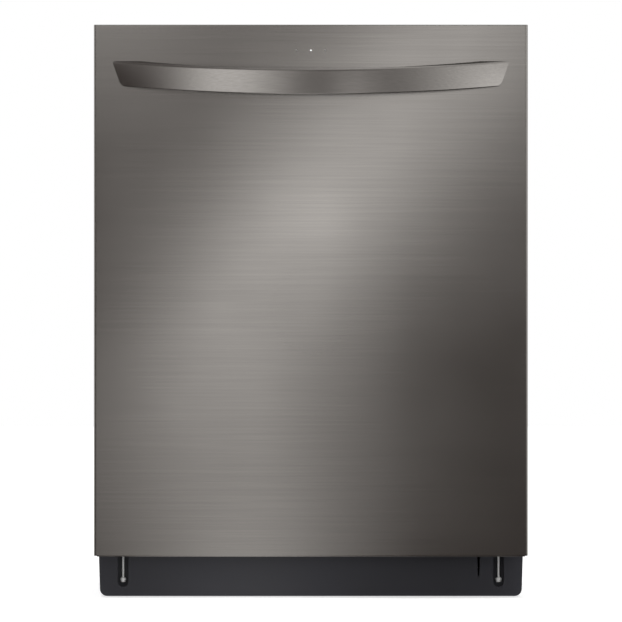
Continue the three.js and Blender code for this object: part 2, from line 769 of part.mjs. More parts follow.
// Bars that carry a pull-out rack in its rails, one at each side.
function runners(z) {
  const outer = tubHalf - fit - railGauge - fit;
  const half = railHalfHeight - railGauge - fit;
  const reach = [rackFrontY + 11, rackBackY + 5];
  return join(
    sides.map(([, side]) =>
      box(side * (rackHalf - wire), side * outer, ...reach, z - half, z + half),
    ),
  );
}

// A channel on the tub's side wall, open towards the rack.
function rail(name, side, z) {
  const outer = tubHalf - fit;
  const inner = outer - railDepth;
  const [low, high] = [z - railHalfHeight, z + railHalfHeight];
  const bar = box(side * inner, side * outer, tubFrontY + 14, railBackY, low, high);
  const groove = box(
    side * (inner - 1),
    side * (outer - railGauge),
    tubFrontY + 13,
    railBackY - 4,
    low + railGauge,
    high - railGauge,
  );
  return piece(name, bar.subtract(groove), tubSteel);
}

const lowerFloorZ = tubFloorZ + 50.5;
const lowerRimZ = lowerFloorZ + 132;
const wheelRadius = 18;
const wheelWidth = 8;
const wheelInnerX = tubHalf - 18;
const axleRadius = 3;
const wheelZ = tubFloorZ + fit + wheelRadius;
const wheelFrontY = rackFrontY + 56;
const wheelBackY = rackBackY - 65;
const tineTopZ = lowerFloorZ + 72;
const tineRow = { x0: 32 - rackHalf, x1: -20, y: rackBackY - 150 };
const tineLift = 0.9; // lets the bar turn over the floor wires

// The lower rack: a deep basket on four wheels with stub axles under its sides.
function lowerRack() {
  const axles = [];
  for (const [, side] of sides) {
    for (const y of [wheelFrontY, wheelBackY]) {
      const inner = side * (rackHalf - wire);
      axles.push(box(inner, side * (rackHalf + 6), y - 7, y + 7, wheelZ - 7, lowerFloorZ + 1));
      axles.push(pinX(axleRadius, inner, side * (wheelInnerX + wheelWidth), y, wheelZ, 12));
    }
  }
  return piece("lower_rack", join([basketSides(lowerFloorZ, lowerRimZ), ...axles]), darkNylon);
}

function rackWheel(name, side, y) {
  const rim = wheelRadius;
  const flange = wheelWidth / 2;
  const bore = axleRadius + fit;
  const wheel = pinX(rim, -flange, flange, 0, 0, 24).subtract(pinX(bore, -9, 9, 0, 0, 12));
  const dish = pinX(rim - 4, flange - 2, flange + 1, 0, 0, 16);
  const boss = pinX(7, flange - 3, flange, 0, 0, 12).subtract(pinX(bore, -9, 9, 0, 0, 12));
  const solid = wheel.subtract(dish).add(boss);
  const place = [side * (wheelInnerX + wheelWidth / 2), y, wheelZ];
  const mesh = piece(`lower_wheel_${name}`, solid, greyNylon, place);
  if (side < 0) mesh.rotation.z = Math.PI;
  return mesh;
}

// A row of plate tines on a bar that folds down onto the rack's floor.
function foldingTines() {
  const { x0, x1, y } = tineRow;
  const z = lowerFloorZ + wire + tineLift;
  const bar = box(x0 - 6, x1 + 6, y - wire / 2, y + wire / 2, z, z + wire);
  const tines = spread(x0, x1, 7, (x) => upright(x, y, z, tineTopZ));
  return piece("lower_rack_tines", bar.add(tines), darkNylon);
}

const basketX = [40, rackHalf - 28];
const basketY = [rackBackY - 178, rackBackY - 94];
const basketTopZ = lowerFloorZ + 94;

// The cutlery basket: a ribbed box with six cells and a bail over its middle.
function cutleryBasket() {
  const [x0, x1] = basketX;
  const [y0, y1] = basketY;
  const floor = lowerFloorZ + wire + fit;
  const wall = 2.5;
  const outer = box(x0, x1, y0, y1, floor, basketTopZ);
  const cellX = (x1 - x0 - 4 * wall) / 3;
  const cellY = (y1 - y0 - 3 * wall) / 2;
  let cells = outer;
  for (let i = 0; i < 3; i++) {
    for (let j = 0; j < 2; j++) {
      const [x, y] = [x0 + wall + i * (cellX + wall), y0 + wall + j * (cellY + wall)];
      cells = cells.subtract(box(x, x + cellX, y, y + cellY, floor + wall, basketTopZ + 1));
    }
  }
  const mid = (y0 + y1) / 2;
  const bail = box(x0, x1, mid - 3, mid + 3, basketTopZ - 1, basketTopZ + 34);
  const grip = box(x0 + 8, x1 - 8, mid - 4, mid + 4, basketTopZ + 2, basketTopZ + 26);
  return piece("cutlery_basket", cells.add(bail.subtract(grip)), greyPlastic);
}

racks.add(lowerRack(), basketFloor("lower_rack_floor", lowerFloorZ));
racks.add(foldingTines(), cutleryBasket());
for (const [name, side] of sides) {
  racks.add(rackWheel(`front_${name}`, side, wheelFrontY));
  racks.add(rackWheel(`rear_${name}`, side, wheelBackY));
}

const upperRimZ = upperFloorZ + 113;
const upperRailZ = upperFloorZ + 68;
const thirdFloorZ = tubCeilingZ - 85;
const thirdRimZ = thirdFloorZ + 40;
const thirdRailZ = thirdFloorZ + 18;
const trayWall = 3;

function upperRack() {
  const basket = basketSides(upperFloorZ, upperRimZ);
  return piece("upper_rack", basket.add(runners(upperRailZ)), darkNylon);
}

// The duct clipped under the upper rack: it docks at the back and carries the middle spray arm.
function middleManifold() {
  const top = upperFloorZ - fit;
  const foot = middleArmZ + 2 + fit;
  const dock = tubBackY - fit - pipeDepth - 22 - fit;
  const duct = join([
    box(-14, 14, armDockY - 16, dock - 12, foot, top),
    pinY(9, 0, dock - 20, dock, middleArmZ + 12, 16),
    post(stemRadius, 0, armDockY, middleArmZ + 2 - stemDepth, foot + 1, 16),
  ]);
  return piece("middle_manifold", duct, greyPlastic);
}

// The third rack: a shallow moulded tray for cutlery.
function thirdRack() {
  const [x, y0, y1] = [rackHalf - trayWall, rackFrontY + trayWall, rackBackY - trayWall];
  const block = box(-rackHalf, rackHalf, rackFrontY, rackBackY, thirdFloorZ, thirdRimZ);
  const tray = block.subtract(box(-x, x, y0, y1, thirdFloorZ + trayWall, thirdRimZ + 1));
  return piece("third_rack", tray.add(runners(thirdRailZ)), darkNylon);
}

racks.add(upperRack(), basketFloor("upper_rack_floor", upperFloorZ));
racks.add(middleManifold(), thirdRack());
for (const [name, side] of sides) {
  cabinet.add(rail(`upper_rail_${name}`, side, upperRailZ));
  cabinet.add(rail(`third_rail_${name}`, side, thirdRailZ));
}

// ---------------------------------------------------------------------------------------------
// Door: a folded steel skin over a pressed liner, with the controls hidden in its top edge
// ---------------------------------------------------------------------------------------------
const doorHalf = doorWidth / 2;
const foldRadius = 3;
const skinReturn = 30;
const footReturn = 26;
const lightSpacing = 20;
const lightDrop = 35.8; // indicator lights below the door's top edge
const lightZ = doorTopZ - lightDrop;
const lightTip = 1.2;
const lights = [-lightSpacing, 0, lightSpacing];

// A channel of sheet, seen from above, with its two front edges folded round.
function foldedChannel(half, front, back, radius) {
  const s = new THREE.Shape();
  s.moveTo(-half, back);
  s.lineTo(-half, front + radius);
  s.absarc(-half + radius, front + radius, radius, Math.PI, 1.5 * Math.PI);
  s.lineTo(half - radius, front);
  s.absarc(half - radius, front + radius, radius, 1.5 * Math.PI, 2 * Math.PI);
  s.lineTo(half, back);
  return s;
}

function outerPanel() {
  const back = skinY + skinReturn;
  const solid = slabXY(foldedChannel(doorHalf, skinY, back, foldRadius), doorBottomZ, doorTopZ, 4);
  const inside = foldedChannel(doorHalf - sheet, skinY + sheet, back + 1, foldRadius - sheet);
  let panel = solid.subtract(slabXY(inside, doorBottomZ + sheet, doorTopZ + 1, 4));
  const floor = skinY + footReturn;
  const cut = doorHalf - 6;
  panel = panel.subtract(box(-cut, cut, floor, back + 1, doorBottomZ - 1, doorBottomZ + 2));
  for (const x of lights) {
    panel = panel.subtract(pinY(lightTip + fit, x, skinY - 1, skinY + 2, lightZ, 12));
  }
  return piece("door_outer_panel", panel, blackSteel);
}

const linerHalf = doorHalf - sheet - fit;
const linerFootZ = doorBottomZ + 4;
const linerTopZ = doorTopZ - 26;
const linerFrontY = skinY + 4.5;
const fieldHalf = tubHalf - 4;
const fieldFootZ = tubFloorZ + 7.5;
const fieldTopZ = tubCeilingZ - 5;
const notchTopZ = hingeHeight + 17;
const dispenserHalf = 85;
const dispenserFootZ = doorBottomZ + 370;
const dispenserTopZ = dispenserFootZ + 117;
const dispenserEdge = 3; // the plate overlaps the liner's opening by this much
const latchOpening = [28, 18];

// The liner: a sealing face all round, a raised field that enters the tub, notches for the hinges.
function innerPanel() {
  const face = linerY - sheet;
  const field = fieldY - sheet;
  const inner = linerHalf - sheet;
  const block = box(-linerHalf, linerHalf, linerFrontY, linerY, linerFootZ, linerTopZ);
  const hollow = box(-inner, inner, linerFrontY - 1, face, linerFootZ - 1, linerTopZ - sheet);
  const raised = box(-fieldHalf, fieldHalf, face, fieldY, fieldFootZ, fieldTopZ);
  const half = fieldHalf - sheet;
  const back = box(-half, half, face - 1, field, fieldFootZ + sheet, fieldTopZ - sheet);
  let panel = block.subtract(hollow).add(raised).subtract(back);
  for (const [, side] of sides) {
    const notch = [side * (bracketPlateX - 2), side * (pinEndX + 1)];
    panel = panel.subtract(box(...notch, face - 1, linerY + 1, linerFootZ - 1, notchTopZ));
  }
  const reach = dispenserHalf - dispenserEdge;
  const [foot, top] = [dispenserFootZ + dispenserEdge, dispenserTopZ - dispenserEdge];
  panel = panel.subtract(box(-reach, reach, field - 1, fieldY + 1, foot, top));
  const [width, height] = latchOpening;
  const [low, high] = [latchZ - height / 2, latchZ + height / 2];
  panel = panel.subtract(box(-width / 2, width / 2, face - 1, linerY + 1, low, high));
  return piece("door_inner_panel", panel, tubSteel);
}

// The hidden fascia that closes the door's top edge, with a well for each button.
const fasciaWall = 2.5;
const fasciaTopZ = doorTopZ - 0.5;
const buttonSize = [22, 11];
const buttonY = (skinY + linerY) / 2 - 2;
const buttonHeight = 10;
const buttons = [
  ["power", 52 - linerHalf],
  ["program", linerHalf - 148],
  ["start", linerHalf - 64],
];

function fascia() {
  const half = linerHalf;
  const front = skinY + sheet + fit;
  const back = linerY - fit;
  const floor = linerTopZ + 1;
  const outline = roundedRect(0, (front + back) / 2, 2 * half, back - front, foldRadius);
  let shell = slabXY(outline, floor, fasciaTopZ, 3);
  shell = shell.subtract(
    box(
      fasciaWall - half,
      half - fasciaWall,
      front + fasciaWall,
      back - fasciaWall,
      floor - 1,
      fasciaTopZ - fasciaWall,
    ),
  );
  const [width, depth] = buttonSize;
  for (const [, x] of buttons) {
    const [w, d] = [width / 2 + fit, depth / 2 + fit];
    shell = shell.subtract(box(x - w, x + w, buttonY - d, buttonY + d, fasciaTopZ - 5, fasciaTopZ + 1));
  }
  return piece("control_fascia", shell, blackPlastic);
}

function button(name, x) {
  const [width, depth] = buttonSize;
  const cap = slabXY(roundedRect(0, 0, width, depth, 2), fasciaTopZ - buttonHeight, doorTopZ, 2);
  return piece(`button_${name}`, cap, darkNylon, [x, buttonY, 0]);
}

// The handle: a deep band that bows out and down between ends that lie flat on the skin.
const handleHalfTop = doorHalf - 25.5;
const handleHalfFoot = handleHalfTop - 14;
const handleTopZ = doorTopZ - 50.6;
const handleHeight = 33.7;
const handleDropTop = 11.8; // how far its middle hangs below its ends, along the top edge
const handleDropFoot = 14.3; // and along the lower edge
const handleThickness = 13;
const handleSegments = 14;

function handle() {
  const seat = skinY - fit;
  const reach = handleReach - fit;
  const radius = (handleHalfTop ** 2 + reach ** 2) / (2 * reach);
  const centre = seat - reach + radius;
  const inner = radius - handleThickness;
  const sweep = Math.asin(handleHalfTop / radius);
  const innerSweep = Math.acos((centre - seat) / inner);
  const down = -Math.PI / 2;
  const plan = new THREE.Shape();
  plan.absarc(0, centre, radius, down - sweep, down + sweep);
  plan.absarc(0, centre, inner, down + innerSweep, down - innerSweep, true);
  const band = new THREE.ExtrudeGeometry(plan, {
    depth: handleHeight,
    bevelEnabled: false,
    curveSegments: handleSegments,
    steps: 1,
  });
  band.translate(0, 0, handleTopZ - handleHeight);
  const place = band.getAttribute("position");
  for (let i = 0; i < place.count; i++) {
    const share = (handleTopZ - place.getZ(i)) / handleHeight;
    const out = (seat - place.getY(i)) / reach;
    const narrowed = THREE.MathUtils.lerp(1, handleHalfFoot / handleHalfTop, share);
    place.setX(i, place.getX(i) * narrowed);
    const drop = THREE.MathUtils.lerp(handleDropTop, handleDropFoot, share);
    place.setZ(i, place.getZ(i) - drop * out);
  }
  return piece("door_handle", solidOf(band), blackSteel);
}

// The latch's housing behind the liner; the striker enters its mouth.
function doorLatch() {
  const back = linerY - sheet - fit;
  const front = back - 36;
  const housing = box(-30, 30, front, back, latchZ - 11, linerTopZ - sheet - fit);
  const mouth = box(-12, 12, back - 24, back + 1, latchZ - 6, latchZ + 6);
  return piece("door_latch", housing.subtract(mouth), blackPlastic);
}

const rinseAt = [58, dispenserFootZ + 16];
const rinseRadius = 11;
const lidX = [7 - dispenserHalf, 83 - dispenserHalf];
const lidZ = [dispenserFootZ + 31, dispenserTopZ - 10];
const lidThickness = 4;
const guideHeight = 3;
const cupInset = 4;

// The dispenser: a plate with a detergent cup, two lid guides and a well for the rinse cap.
function dispenserBody() {
  const seat = fieldY + fit;
  const face = seat + 2.5;
  const opening = dispenserHalf - dispenserEdge - fit;
  const [low, high] = [dispenserFootZ + dispenserEdge + fit, dispenserTopZ - dispenserEdge - fit];
  const plate = [-dispenserHalf, dispenserHalf, seat, face, dispenserFootZ, dispenserTopZ];
  const guide = (z) =>
    box(lidX[0] - 2, dispenserHalf - 3, face - 1, face + lidThickness, z, z + guideHeight);
  const body = join([
    box(...plate),
    box(-opening, opening, seat - 38, seat + 1, low, high),
    guide(lidZ[0] - fit - guideHeight),
    guide(lidZ[1] + fit),
  ]);
  const cup = box(
    lidX[0] + cupInset,
    lidX[1] - cupInset,
    seat - 34,
    face + 1,
    lidZ[0] + cupInset,
    lidZ[1] - cupInset,
  );
  const well = pinY(rinseRadius + fit, rinseAt[0], face - 8, face + 1, rinseAt[1], 20);
  return piece("dispenser_body", body.subtract(cup).subtract(well), greyPlastic);
}

function dispenserLid() {
  const face = fieldY + fit + 2.5 + fit;
  const lid = box(lidX[0], lidX[1], face, face + lidThickness, ...lidZ);
  const grip = box(lidX[1] - 16, lidX[1] - 8, face + 1.5, face + 5, lidZ[0] + 14, lidZ[1] - 14);
  return piece("dispenser_lid", lid.subtract(grip), darkNylon);
}

function rinseCap() {
  const face = fieldY + fit + 2.5;
  const cap = pinY(rinseRadius, 0, face - 8 + fit, face + 3, 0, 20);
  const grip = join([
    box(-rinseRadius - 1, -2, face + 0.5, face + 4, -rinseRadius - 1, rinseRadius + 1),
    box(2, rinseRadius + 1, face + 0.5, face + 4, -rinseRadius - 1, rinseRadius + 1),
  ]);
  return piece("rinse_cap", cap.subtract(grip), darkNylon, [rinseAt[0], 0, rinseAt[1]]);
}

// One clear moulding carries the light of three lamps out through the skin.
function lightGuide() {
  const front = skinY + sheet + fit;
  const bar = box(-lightSpacing - 6, lightSpacing + 6, front, front + 6, lightZ - 3.2, lightZ + 3.3);
  const tips = lights.map((x) => pinY(lightTip, x, skinY + 0.2, front + 1, lightZ, 10));
  return piece("light_guide", join([bar, ...tips]), clearLens);
}

door.add(outerPanel(), innerPanel(), fascia(), handle(), doorLatch(), dispenserBody());
door.add(dispenserLid(), rinseCap(), lightGuide(), ...buttons.map((b) => button(...b)));
export default machine;
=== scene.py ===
"""A built-in dishwasher with a black steel door and a bowed bar handle, dressed piece by piece."""
import math
from collections import namedtuple

import bmesh
import bpy
import numpy as np
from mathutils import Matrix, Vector


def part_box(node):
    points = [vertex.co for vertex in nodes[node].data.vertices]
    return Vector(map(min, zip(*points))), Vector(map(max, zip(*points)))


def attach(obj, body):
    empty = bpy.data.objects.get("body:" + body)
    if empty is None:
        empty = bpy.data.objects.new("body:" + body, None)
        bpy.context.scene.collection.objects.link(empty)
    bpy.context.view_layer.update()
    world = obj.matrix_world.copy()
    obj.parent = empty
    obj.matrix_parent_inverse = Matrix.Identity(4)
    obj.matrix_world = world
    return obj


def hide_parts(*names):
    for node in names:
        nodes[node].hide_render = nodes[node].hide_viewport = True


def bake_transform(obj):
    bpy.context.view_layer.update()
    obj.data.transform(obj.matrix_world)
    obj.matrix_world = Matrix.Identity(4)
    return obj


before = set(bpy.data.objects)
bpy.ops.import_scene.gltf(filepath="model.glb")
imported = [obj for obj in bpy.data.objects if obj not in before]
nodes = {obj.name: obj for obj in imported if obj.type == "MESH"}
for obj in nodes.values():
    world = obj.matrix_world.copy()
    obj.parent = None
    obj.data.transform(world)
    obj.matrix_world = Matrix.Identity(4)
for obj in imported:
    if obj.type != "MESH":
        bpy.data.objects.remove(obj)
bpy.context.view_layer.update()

mm = 0.001


# ------------------------------
# Base tray: injection-moulded black polypropylene with a fine satin grain. Everything stands on
# it, and its front wall is the recessed toe face under the door.
def finish(name, color, roughness, metallic=0.0):
    """A material with one Principled shader; returns it with its node tree and its shader."""
    made = bpy.data.materials.new(name)
    made.use_nodes = True
    shader = made.node_tree.nodes["Principled BSDF"]
    shader.inputs["Base Color"].default_value = (*color, 1)
    shader.inputs["Roughness"].default_value = roughness
    shader.inputs["Metallic"].default_value = metallic
    return made, made.node_tree, shader


def add(tree, kind, inputs, **options):
    """A new shader node: its options are set first, then each input is linked to a socket or given
    a value."""
    made = tree.nodes.new("ShaderNode" + kind)
    for name, value in options.items():
        setattr(made, name, value)
    for name, value in inputs.items():
        if isinstance(value, bpy.types.NodeSocket):
            tree.links.new(value, made.inputs[name])
        else:
            made.inputs[name].default_value = value
    return made


def grain(tree, per_metre, stretch=(1, 1, 1), detail=3.0):
    """Noise read at the piece's own place: `per_metre` lumps to the metre, times `stretch` by axis."""
    coord = add(tree, "TexCoord", {})
    mapping = add(tree, "Mapping", {"Vector": coord.outputs["Object"], "Scale": stretch})
    noise = {"Vector": mapping.outputs["Vector"], "Scale": per_metre, "Detail": detail}
    return add(tree, "TexNoise", noise).outputs[0]


def tint(tree, factor, low, high, socket):
    """Blends a colour socket from `low` to `high` as the noise goes from 0.3 to 0.7."""
    ramp = add(tree, "ValToRGB", {"Fac": factor})
    for stop, position, color in zip(ramp.color_ramp.elements, (0.3, 0.7), (low, high)):
        stop.position = position
        stop.color = (*color, 1)
    tree.links.new(ramp.outputs["Color"], socket)


def spread(tree, factor, low, high, socket):
    """Moves a number socket from `low` to `high` as the noise goes from 0.3 to 0.7."""
    ends = {"From Min": 0.3, "From Max": 0.7, "To Min": low, "To Max": high}
    span = add(tree, "MapRange", {"Value": factor, **ends})
    tree.links.new(span.outputs["Result"], socket)


def relief(tree, factor, depth, shader):
    """Raises and sinks the surface by the noise times `depth`, in metres."""
    bump = add(tree, "Bump", {"Height": factor, "Strength": 1.0, "Distance": depth})
    tree.links.new(bump.outputs["Normal"], shader.inputs["Normal"])


def moulded(name, color, roughness, texture=1800, depth=1.2e-5):
    """Moulded plastic: a fine even grain, with broad faint changes of shade and gloss."""
    made, tree, shader = finish(name, color, roughness)
    clouds = grain(tree, 9, detail=2)
    tint(tree, clouds, [c * 0.9 for c in color], [c * 1.1 for c in color], shader.inputs["Base Color"])
    spread(tree, clouds, roughness - 0.04, roughness + 0.05, shader.inputs["Roughness"])
    relief(tree, grain(tree, texture), depth, shader)
    return made


def dress(material, *names):
    """Gives CAD nodes whose shape is right their finish."""
    for name in names:
        slots = nodes[name].data.materials
        slots.clear()
        slots.append(material)


black_plastic = moulded("black_moulding", (0.0300, 0.0308, 0.0395), 0.48)
dress(black_plastic, "base_tray")


# ------------------------------
# Feet: moulded pads on zinc-plated steel studs with a coarse thread. They screw up into the tray,
# and are drawn screwed home.
def patch(points, around=False, along=False):
    """Quads between the neighbours of a grid of points [rows, columns, 3], closed if asked."""
    rows, columns = points.shape[:2]
    index = np.arange(rows * columns).reshape(rows, columns)
    if around:
        index = np.hstack([index, index[:, :1]])
    if along:
        index = np.vstack([index, index[:1]])
    quads = np.stack([index[:-1, :-1], index[:-1, 1:], index[1:, 1:], index[1:, :-1]], -1)
    return points.reshape(-1, 3), quads.reshape(-1, 4).tolist()


def capped(points, along=False):
    """A tube skin from rings of points, with a flat face over each end unless it closes on itself."""
    verts, faces = patch(points, around=True, along=along)
    if not along:
        count = points.shape[1]
        faces.append(list(range(count))[::-1])
        faces.append(list(range(len(verts) - count, len(verts))))
    return verts, faces


def joined_mesh(name, surfaces, closed=True):
    """One mesh from several surfaces. Closed skins get their normals turned outwards; an open
    sheet keeps its drawn side."""
    verts, faces, start = [], [], 0
    for points, quads in surfaces:
        verts.append(points)
        faces += [[i + start for i in quad] for quad in quads]
        start += len(points)
    mesh = bpy.data.meshes.new(name)
    mesh.from_pydata(np.vstack(verts), [], faces)
    mesh.validate()
    if closed:
        work = bmesh.new()
        work.from_mesh(mesh)
        bmesh.ops.recalc_face_normals(work, faces=work.faces)
        work.to_mesh(mesh)
        work.free()
    return mesh


def piece(name, surfaces, material, body, smooth=40.0, closed=True):
    """A named piece of one material, smooth up to `smooth` degrees, riding on a body if one is
    named."""
    mesh = joined_mesh(name, surfaces, closed)
    mesh.polygons.foreach_set("use_smooth", np.ones(len(mesh.polygons), bool))
    mesh.set_sharp_from_angle(angle=math.radians(smooth))
    mesh.materials.append(material)
    made = bpy.data.objects.new(name, mesh)
    bpy.context.scene.collection.objects.link(made)
    if body:
        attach(made, body)
    return made


def circle(count):
    """Points round a circle of radius 1."""
    turn = np.linspace(0, 2 * math.pi, count, endpoint=False)
    return np.stack([np.cos(turn), np.sin(turn)], 1)


def turned(profile, sides=40):
    """A profile of (radius, height) points turned about the Z axis through the origin."""
    profile = np.asarray(profile, float)
    flat = profile[:, None, :1] * circle(sides)[None]
    height = np.broadcast_to(profile[:, None, 1:], (len(profile), sides, 1))
    return capped(np.concatenate([flat, height], -1))


def threaded(radius, depth, pitch, low, high, sides=16, steps=6):
    """A screw thread: radius less `depth` times a triangle wave of height over pitch less turn."""
    height = np.arange(low, high, pitch / steps)[:, None]
    turn = np.linspace(0, 2 * math.pi, sides, endpoint=False)[None]
    phase = (height / pitch - turn / (2 * math.pi)) % 1
    reach = radius - depth * np.abs(2 * phase - 1)
    return capped(np.stack([reach * np.cos(turn), reach * np.sin(turn),
                            np.broadcast_to(height, reach.shape)], -1))


def moved(surface, place):
    """A surface carried to a place."""
    return surface[0] + np.asarray(place), surface[1]


Place = namedtuple("Place", "x y z")


def box_of(name):
    """The lowest corner, highest corner and middle of a CAD node's box."""
    low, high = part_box(name)
    return low, high, Place(*(np.array(low) + np.array(high)) / 2)


zinc_stud, tree, shader = finish("zinc_stud", (0.5, 0.5, 0.49), 0.35, 1.0)
spread(tree, grain(tree, 400), 0.28, 0.45, shader.inputs["Roughness"])
pad_profile = np.array([(4, 0), (16.6, 0), (17, 0.8), (16.4, 1.8), (14.8, 4), (13.6, 6.4), (12, 7.6),
                        (9, 8.2), (4, 8.2)]) * mm
for name in ("leg_front_left", "leg_front_right", "leg_rear_left", "leg_rear_right"):
    low, high, centre = box_of(name)
    place = (centre.x, centre.y, 0)
    pad = piece(f"{name}_pad", [moved(turned(pad_profile), place)], black_plastic, name)
    thread = threaded(5 * mm, 0.7 * mm, 2 * mm, 7 * mm, high.z)
    stud = piece(f"{name}_stud", [moved(thread, place)], zinc_stud, name)
    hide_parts(name)


# ------------------------------
# Tension screws: bright plated steel, one in each end of the toe face. The long fine thread draws
# the door spring tight; a hexagon under the round head takes a key.
def fluted(surface, sides, first, last, swell):
    """A turned surface whose rows from `first` to `last` are widened by a function of the angle."""
    points, faces = surface
    row = np.arange(len(points)) // sides
    share = swell(np.arctan2(points[:, 1], points[:, 0])) * ((row >= first) & (row <= last))
    return points * np.column_stack([1 + share, 1 + share, np.ones(len(points))]), faces


bright_steel, tree, shader = finish("bright_plate", (0.93, 0.93, 0.92), 0.3, 0.2)
spread(tree, grain(tree, 900), 0.22, 0.36, shader.inputs["Roughness"])
for side in ("left", "right"):
    name = f"tension_screw_{side}"
    low, high, centre = box_of(name)
    flange = [(0.6, 0.2), (2.6, 0.2), (3.4, 0.8), (3.7, 3.2), (4.1, 3.4), (4.25, 3.8), (4.25, 5.2),
              (3.9, 6.0), (3.0, 6.7), (1.6, 7.2)]
    head = turned(np.array(flange) * mm, sides=24)
    head = fluted(head, 24, 0, 3, lambda angle: 0.07 * (np.cos(6 * angle) - 1))
    rod = threaded(1.7 * mm, 0.35 * mm, 1.1 * mm, low.z + 6.5 * mm, high.z, sides=12, steps=5)
    screw = [moved(head, (centre.x, centre.y, low.z)), moved(rod, (centre.x, centre.y, 0))]
    screw = piece(name + "_bright", screw, bright_steel, name)
    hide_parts(name)


# ------------------------------
# Tub: deep-drawn stainless steel. Its mouth is a flat frame with a folded rim; the walls have
# rounded corners and pressed ribs, and the floor is cut out for the sump.
def brushed(name, color, roughness, stretch, low=0.94, high=1.06, depth=1.5e-6):
    """Brushed sheet: noise drawn out along the brushing shifts shade, gloss and height a little."""
    made, tree, shader = finish(name, color, roughness, 1.0)
    lines = grain(tree, 1, stretch, detail=4)
    clouds = grain(tree, 5, detail=2)
    tint(tree, lines, [c * low for c in color], [c * high for c in color], shader.inputs["Base Color"])
    spread(tree, clouds, roughness - 0.02, roughness + 0.02, shader.inputs["Roughness"])
    relief(tree, lines, depth, shader)
    return made


def rounded_ring(x, z, half, tall, radius, count=36):
    """A rectangle centred on (x, z) with rounded corners: `count` points along each side and ten
    round each corner, starting at the right of the foot and running up the right-hand side."""
    turn = np.linspace(-math.pi / 2, 0, 10)
    corner = np.stack([np.cos(turn), np.sin(turn)], 1) * radius
    run = np.linspace(-1, 1, count)[1:-1, None]
    first = np.vstack([
        corner + (half - radius, radius - tall),
        run * (0, tall - radius) + (half, 0),
        corner[:, ::-1] * (-1, 1) + (half - radius, tall - radius),
        run[::-1] * (half - radius, 0) + (0, tall),
    ])
    return np.vstack([first, -first]) + (x, z)


def bump_between(value, low, high, soft):
    """0 outside low..high and 1 inside, with edges eased over `soft` by a smooth cubic."""
    up = np.clip((value - low) / soft, 0, 1)
    down = np.clip((high - value) / soft, 0, 1)
    step = np.minimum(up, down)
    return step * step * (3 - 2 * step)


def set_back(points, y):
    """Plan points (x, z) as a ring at depth y."""
    return np.insert(points, 1, y, axis=1)


def nested(x, z, half, tall, stages, count=36):
    """Rings of one rounded rectangle, for each (inset, corner radius, depth y) of the stages."""
    return [set_back(rounded_ring(x, z, half - inset, tall - inset, corner, count), y)
            for inset, corner, y in stages]


def lofted(outline, stages, axis=2):
    """A solid from a flat outline, scaled about its origin and set at a place along an axis, for
    each (place, scale) of the stages."""
    return capped(np.stack([np.insert(outline * scale, axis, place, axis=1) for place, scale in stages]))


def cut_out(made, surfaces):
    """Cuts solid shapes out of a piece for good."""
    cutter = bpy.data.objects.new("cutter", joined_mesh("cutter", surfaces))
    bpy.context.scene.collection.objects.link(cutter)
    cut = made.modifiers.new("cut", "BOOLEAN")
    cut.object = cutter
    cut.solver = "EXACT"
    shaped = bpy.data.meshes.new_from_object(made.evaluated_get(bpy.context.evaluated_depsgraph_get()))
    made.modifiers.clear()
    made.data = shaped
    bpy.data.objects.remove(cutter)


def thicken(made, gauge):
    """Gives an open sheet its gauge, behind the face that its normals look out of."""
    wall = made.modifiers.new("gauge", "SOLIDIFY")
    wall.thickness = gauge
    wall.offset = -1


tub_steel = brushed("tub_stainless", (0.56, 0.56, 0.55), 0.24, (700, 8, 60))
tub_half, tub_floor, tub_ceiling = 272 * mm, 117.5 * mm, 735 * mm
tub_front, tub_back = -236 * mm, 316 * mm
tub_corner = 16 * mm
rim_fold = 3 * mm
press = 3 * mm  # how far its ribs stand out
rib_feet = (0.225, 0.335, 0.560, 0.600)
rib_tall = 0.018
low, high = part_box("tub")
frame_half, frame_top, frame_foot = high.x, high.z, 135 * mm
foot_half, shoulder_tall = 275 * mm, 4 * mm
sill = tub_floor - 6 * mm
middle_z, half_tall = (tub_floor + tub_ceiling) / 2, (tub_ceiling - tub_floor) / 2
mouth = rounded_ring(0, middle_z, tub_half, half_tall, tub_corner)
rim = rounded_ring(0, (sill + frame_top) / 2, frame_half, (frame_top - sill) / 2, 6 * mm)
shoulder = np.clip((rim[:, 1] - frame_foot + shoulder_tall) / shoulder_tall, 0, 1)
narrow = foot_half + (frame_half - foot_half) * shoulder
rim[:, 0] = np.clip(rim[:, 0], -narrow, narrow)
rings = [set_back(rim, tub_front + 12 * mm), set_back(rim, tub_front + 1.5 * mm)]
rings += [set_back(rim + (mouth - rim) * share, tub_front) for share in (0.02, 0.25, 0.5, 0.75)]
rings += nested(0, middle_z, tub_half, half_tall, [
    (rim_fold * (math.sin(turn) - 1), tub_corner, tub_front + rim_fold * (1 - math.cos(turn)))
    for turn in np.linspace(0, math.pi / 2, 7)[:-1]
])
for depth in np.linspace(tub_front + 3.4 * mm, tub_back - tub_corner, 74):
    ring = mouth.copy()
    along = bump_between(depth, -0.190, 0.270, 0.014)
    side = np.sign(ring[:, 0]) * (np.abs(ring[:, 0]) > tub_half - 1e-6)
    for foot in rib_feet:
        ring[:, 0] += side * press * along * bump_between(ring[:, 1], foot, foot + rib_tall, 0.007)
    top = ring[:, 1] > tub_ceiling - 1e-6
    across = bump_between(np.abs(ring[:, 0]), 0.060, 0.225, 0.012)
    ring[:, 1] += top * press * across * bump_between(depth, -0.150, 0.250, 0.014)
    rings.append(set_back(ring, depth))
rings += nested(0, middle_z, tub_half, half_tall, [
    (tub_corner * (1 - math.cos(turn)), max(tub_corner * math.cos(turn), 2 * mm),
     tub_back - tub_corner * (1 - math.sin(turn)))
    for turn in np.linspace(0, math.pi / 2, 9)[1:]
])
